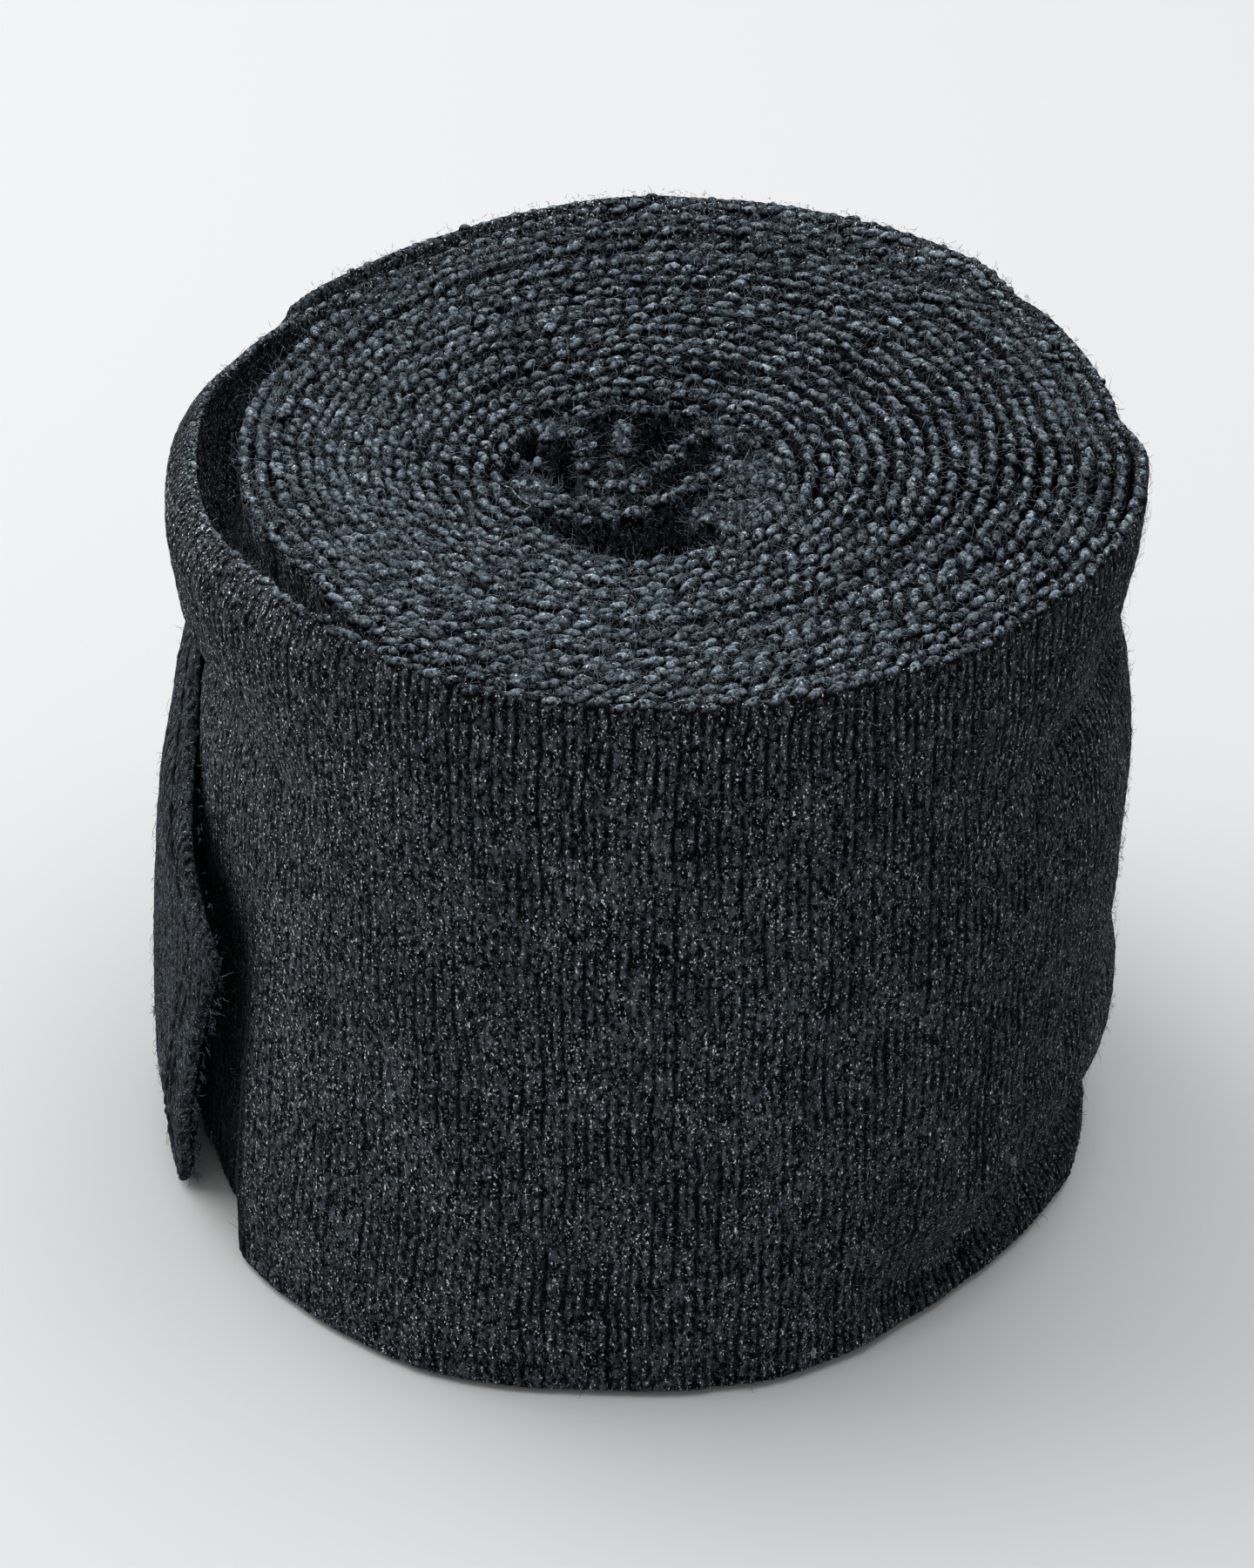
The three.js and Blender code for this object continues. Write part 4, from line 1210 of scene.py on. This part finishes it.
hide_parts("thumb_loop_folded_end")
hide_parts("hook_patch_1")
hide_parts("hook_patch_2")
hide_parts("hook_patch_3")
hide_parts("loop_patch")
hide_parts("loop_patch_stitching")
for k in range(3):
    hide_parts(f"hook_stitching_{k + 1}")
for (base, hk, sg) in hook_pieces:
    ob, L, H, A = base
    if L < 10.5:
        continue                      # a scrap at the start
ob, L, H, A = loop_base

# ------------------------------------------------------------------ floor, light, backdrop
floor_mat, nt, bsdf = nodes_of("pale_floor")
bsdf.inputs["Base Color"].default_value = (0.635, 0.636, 0.639, 1)
bsdf.inputs["Roughness"].default_value = 0.9
bsdf.inputs["Specular IOR Level"].default_value = 0.1
me = bpy.data.meshes.new("floor")
S = 3.0
me.from_pydata([(-S, -S, 0), (S, -S, 0), (S, S, 0), (-S, S, 0)], [], [(0, 1, 2, 3)])
floor = bpy.data.objects.new("floor", me)
me.materials.append(floor_mat)
bpy.context.scene.collection.objects.link(floor)


def area_light(name, loc, aim_at, size, power, color=(1, 1, 1)):
    d = bpy.data.lights.new(name, "AREA")
    d.shape = "RECTANGLE"
    d.size, d.size_y = size
    d.energy = power
    d.color = color
    o = bpy.data.objects.new(name, d)
    o.location = loc
    o.rotation_euler = (Vector(aim_at) - Vector(loc)).to_track_quat("-Z", "Y").to_euler()
    bpy.context.scene.collection.objects.link(o)
    return o


area_light("key", (-0.40, 0.19, 0.46), (0, 0, 0.03), (0.55, 0.55), 2.75, (1.0, 1.0, 1.0))
area_light("top", (0.08, 0.04, 0.68), (0, 0, 0.03), (0.60, 0.60), 3.0, (0.97, 0.99, 1.0))

world = bpy.data.worlds.new("world")
bpy.context.scene.world = world
world.use_nodes = True
bg = world.node_tree.nodes["Background"]
bg.inputs["Color"].default_value = (0.90, 0.905, 0.91, 1)
bg.inputs["Strength"].default_value = 0.50
bpy.context.scene.view_settings.view_transform = "Standard"
bpy.context.scene.view_settings.look = "None"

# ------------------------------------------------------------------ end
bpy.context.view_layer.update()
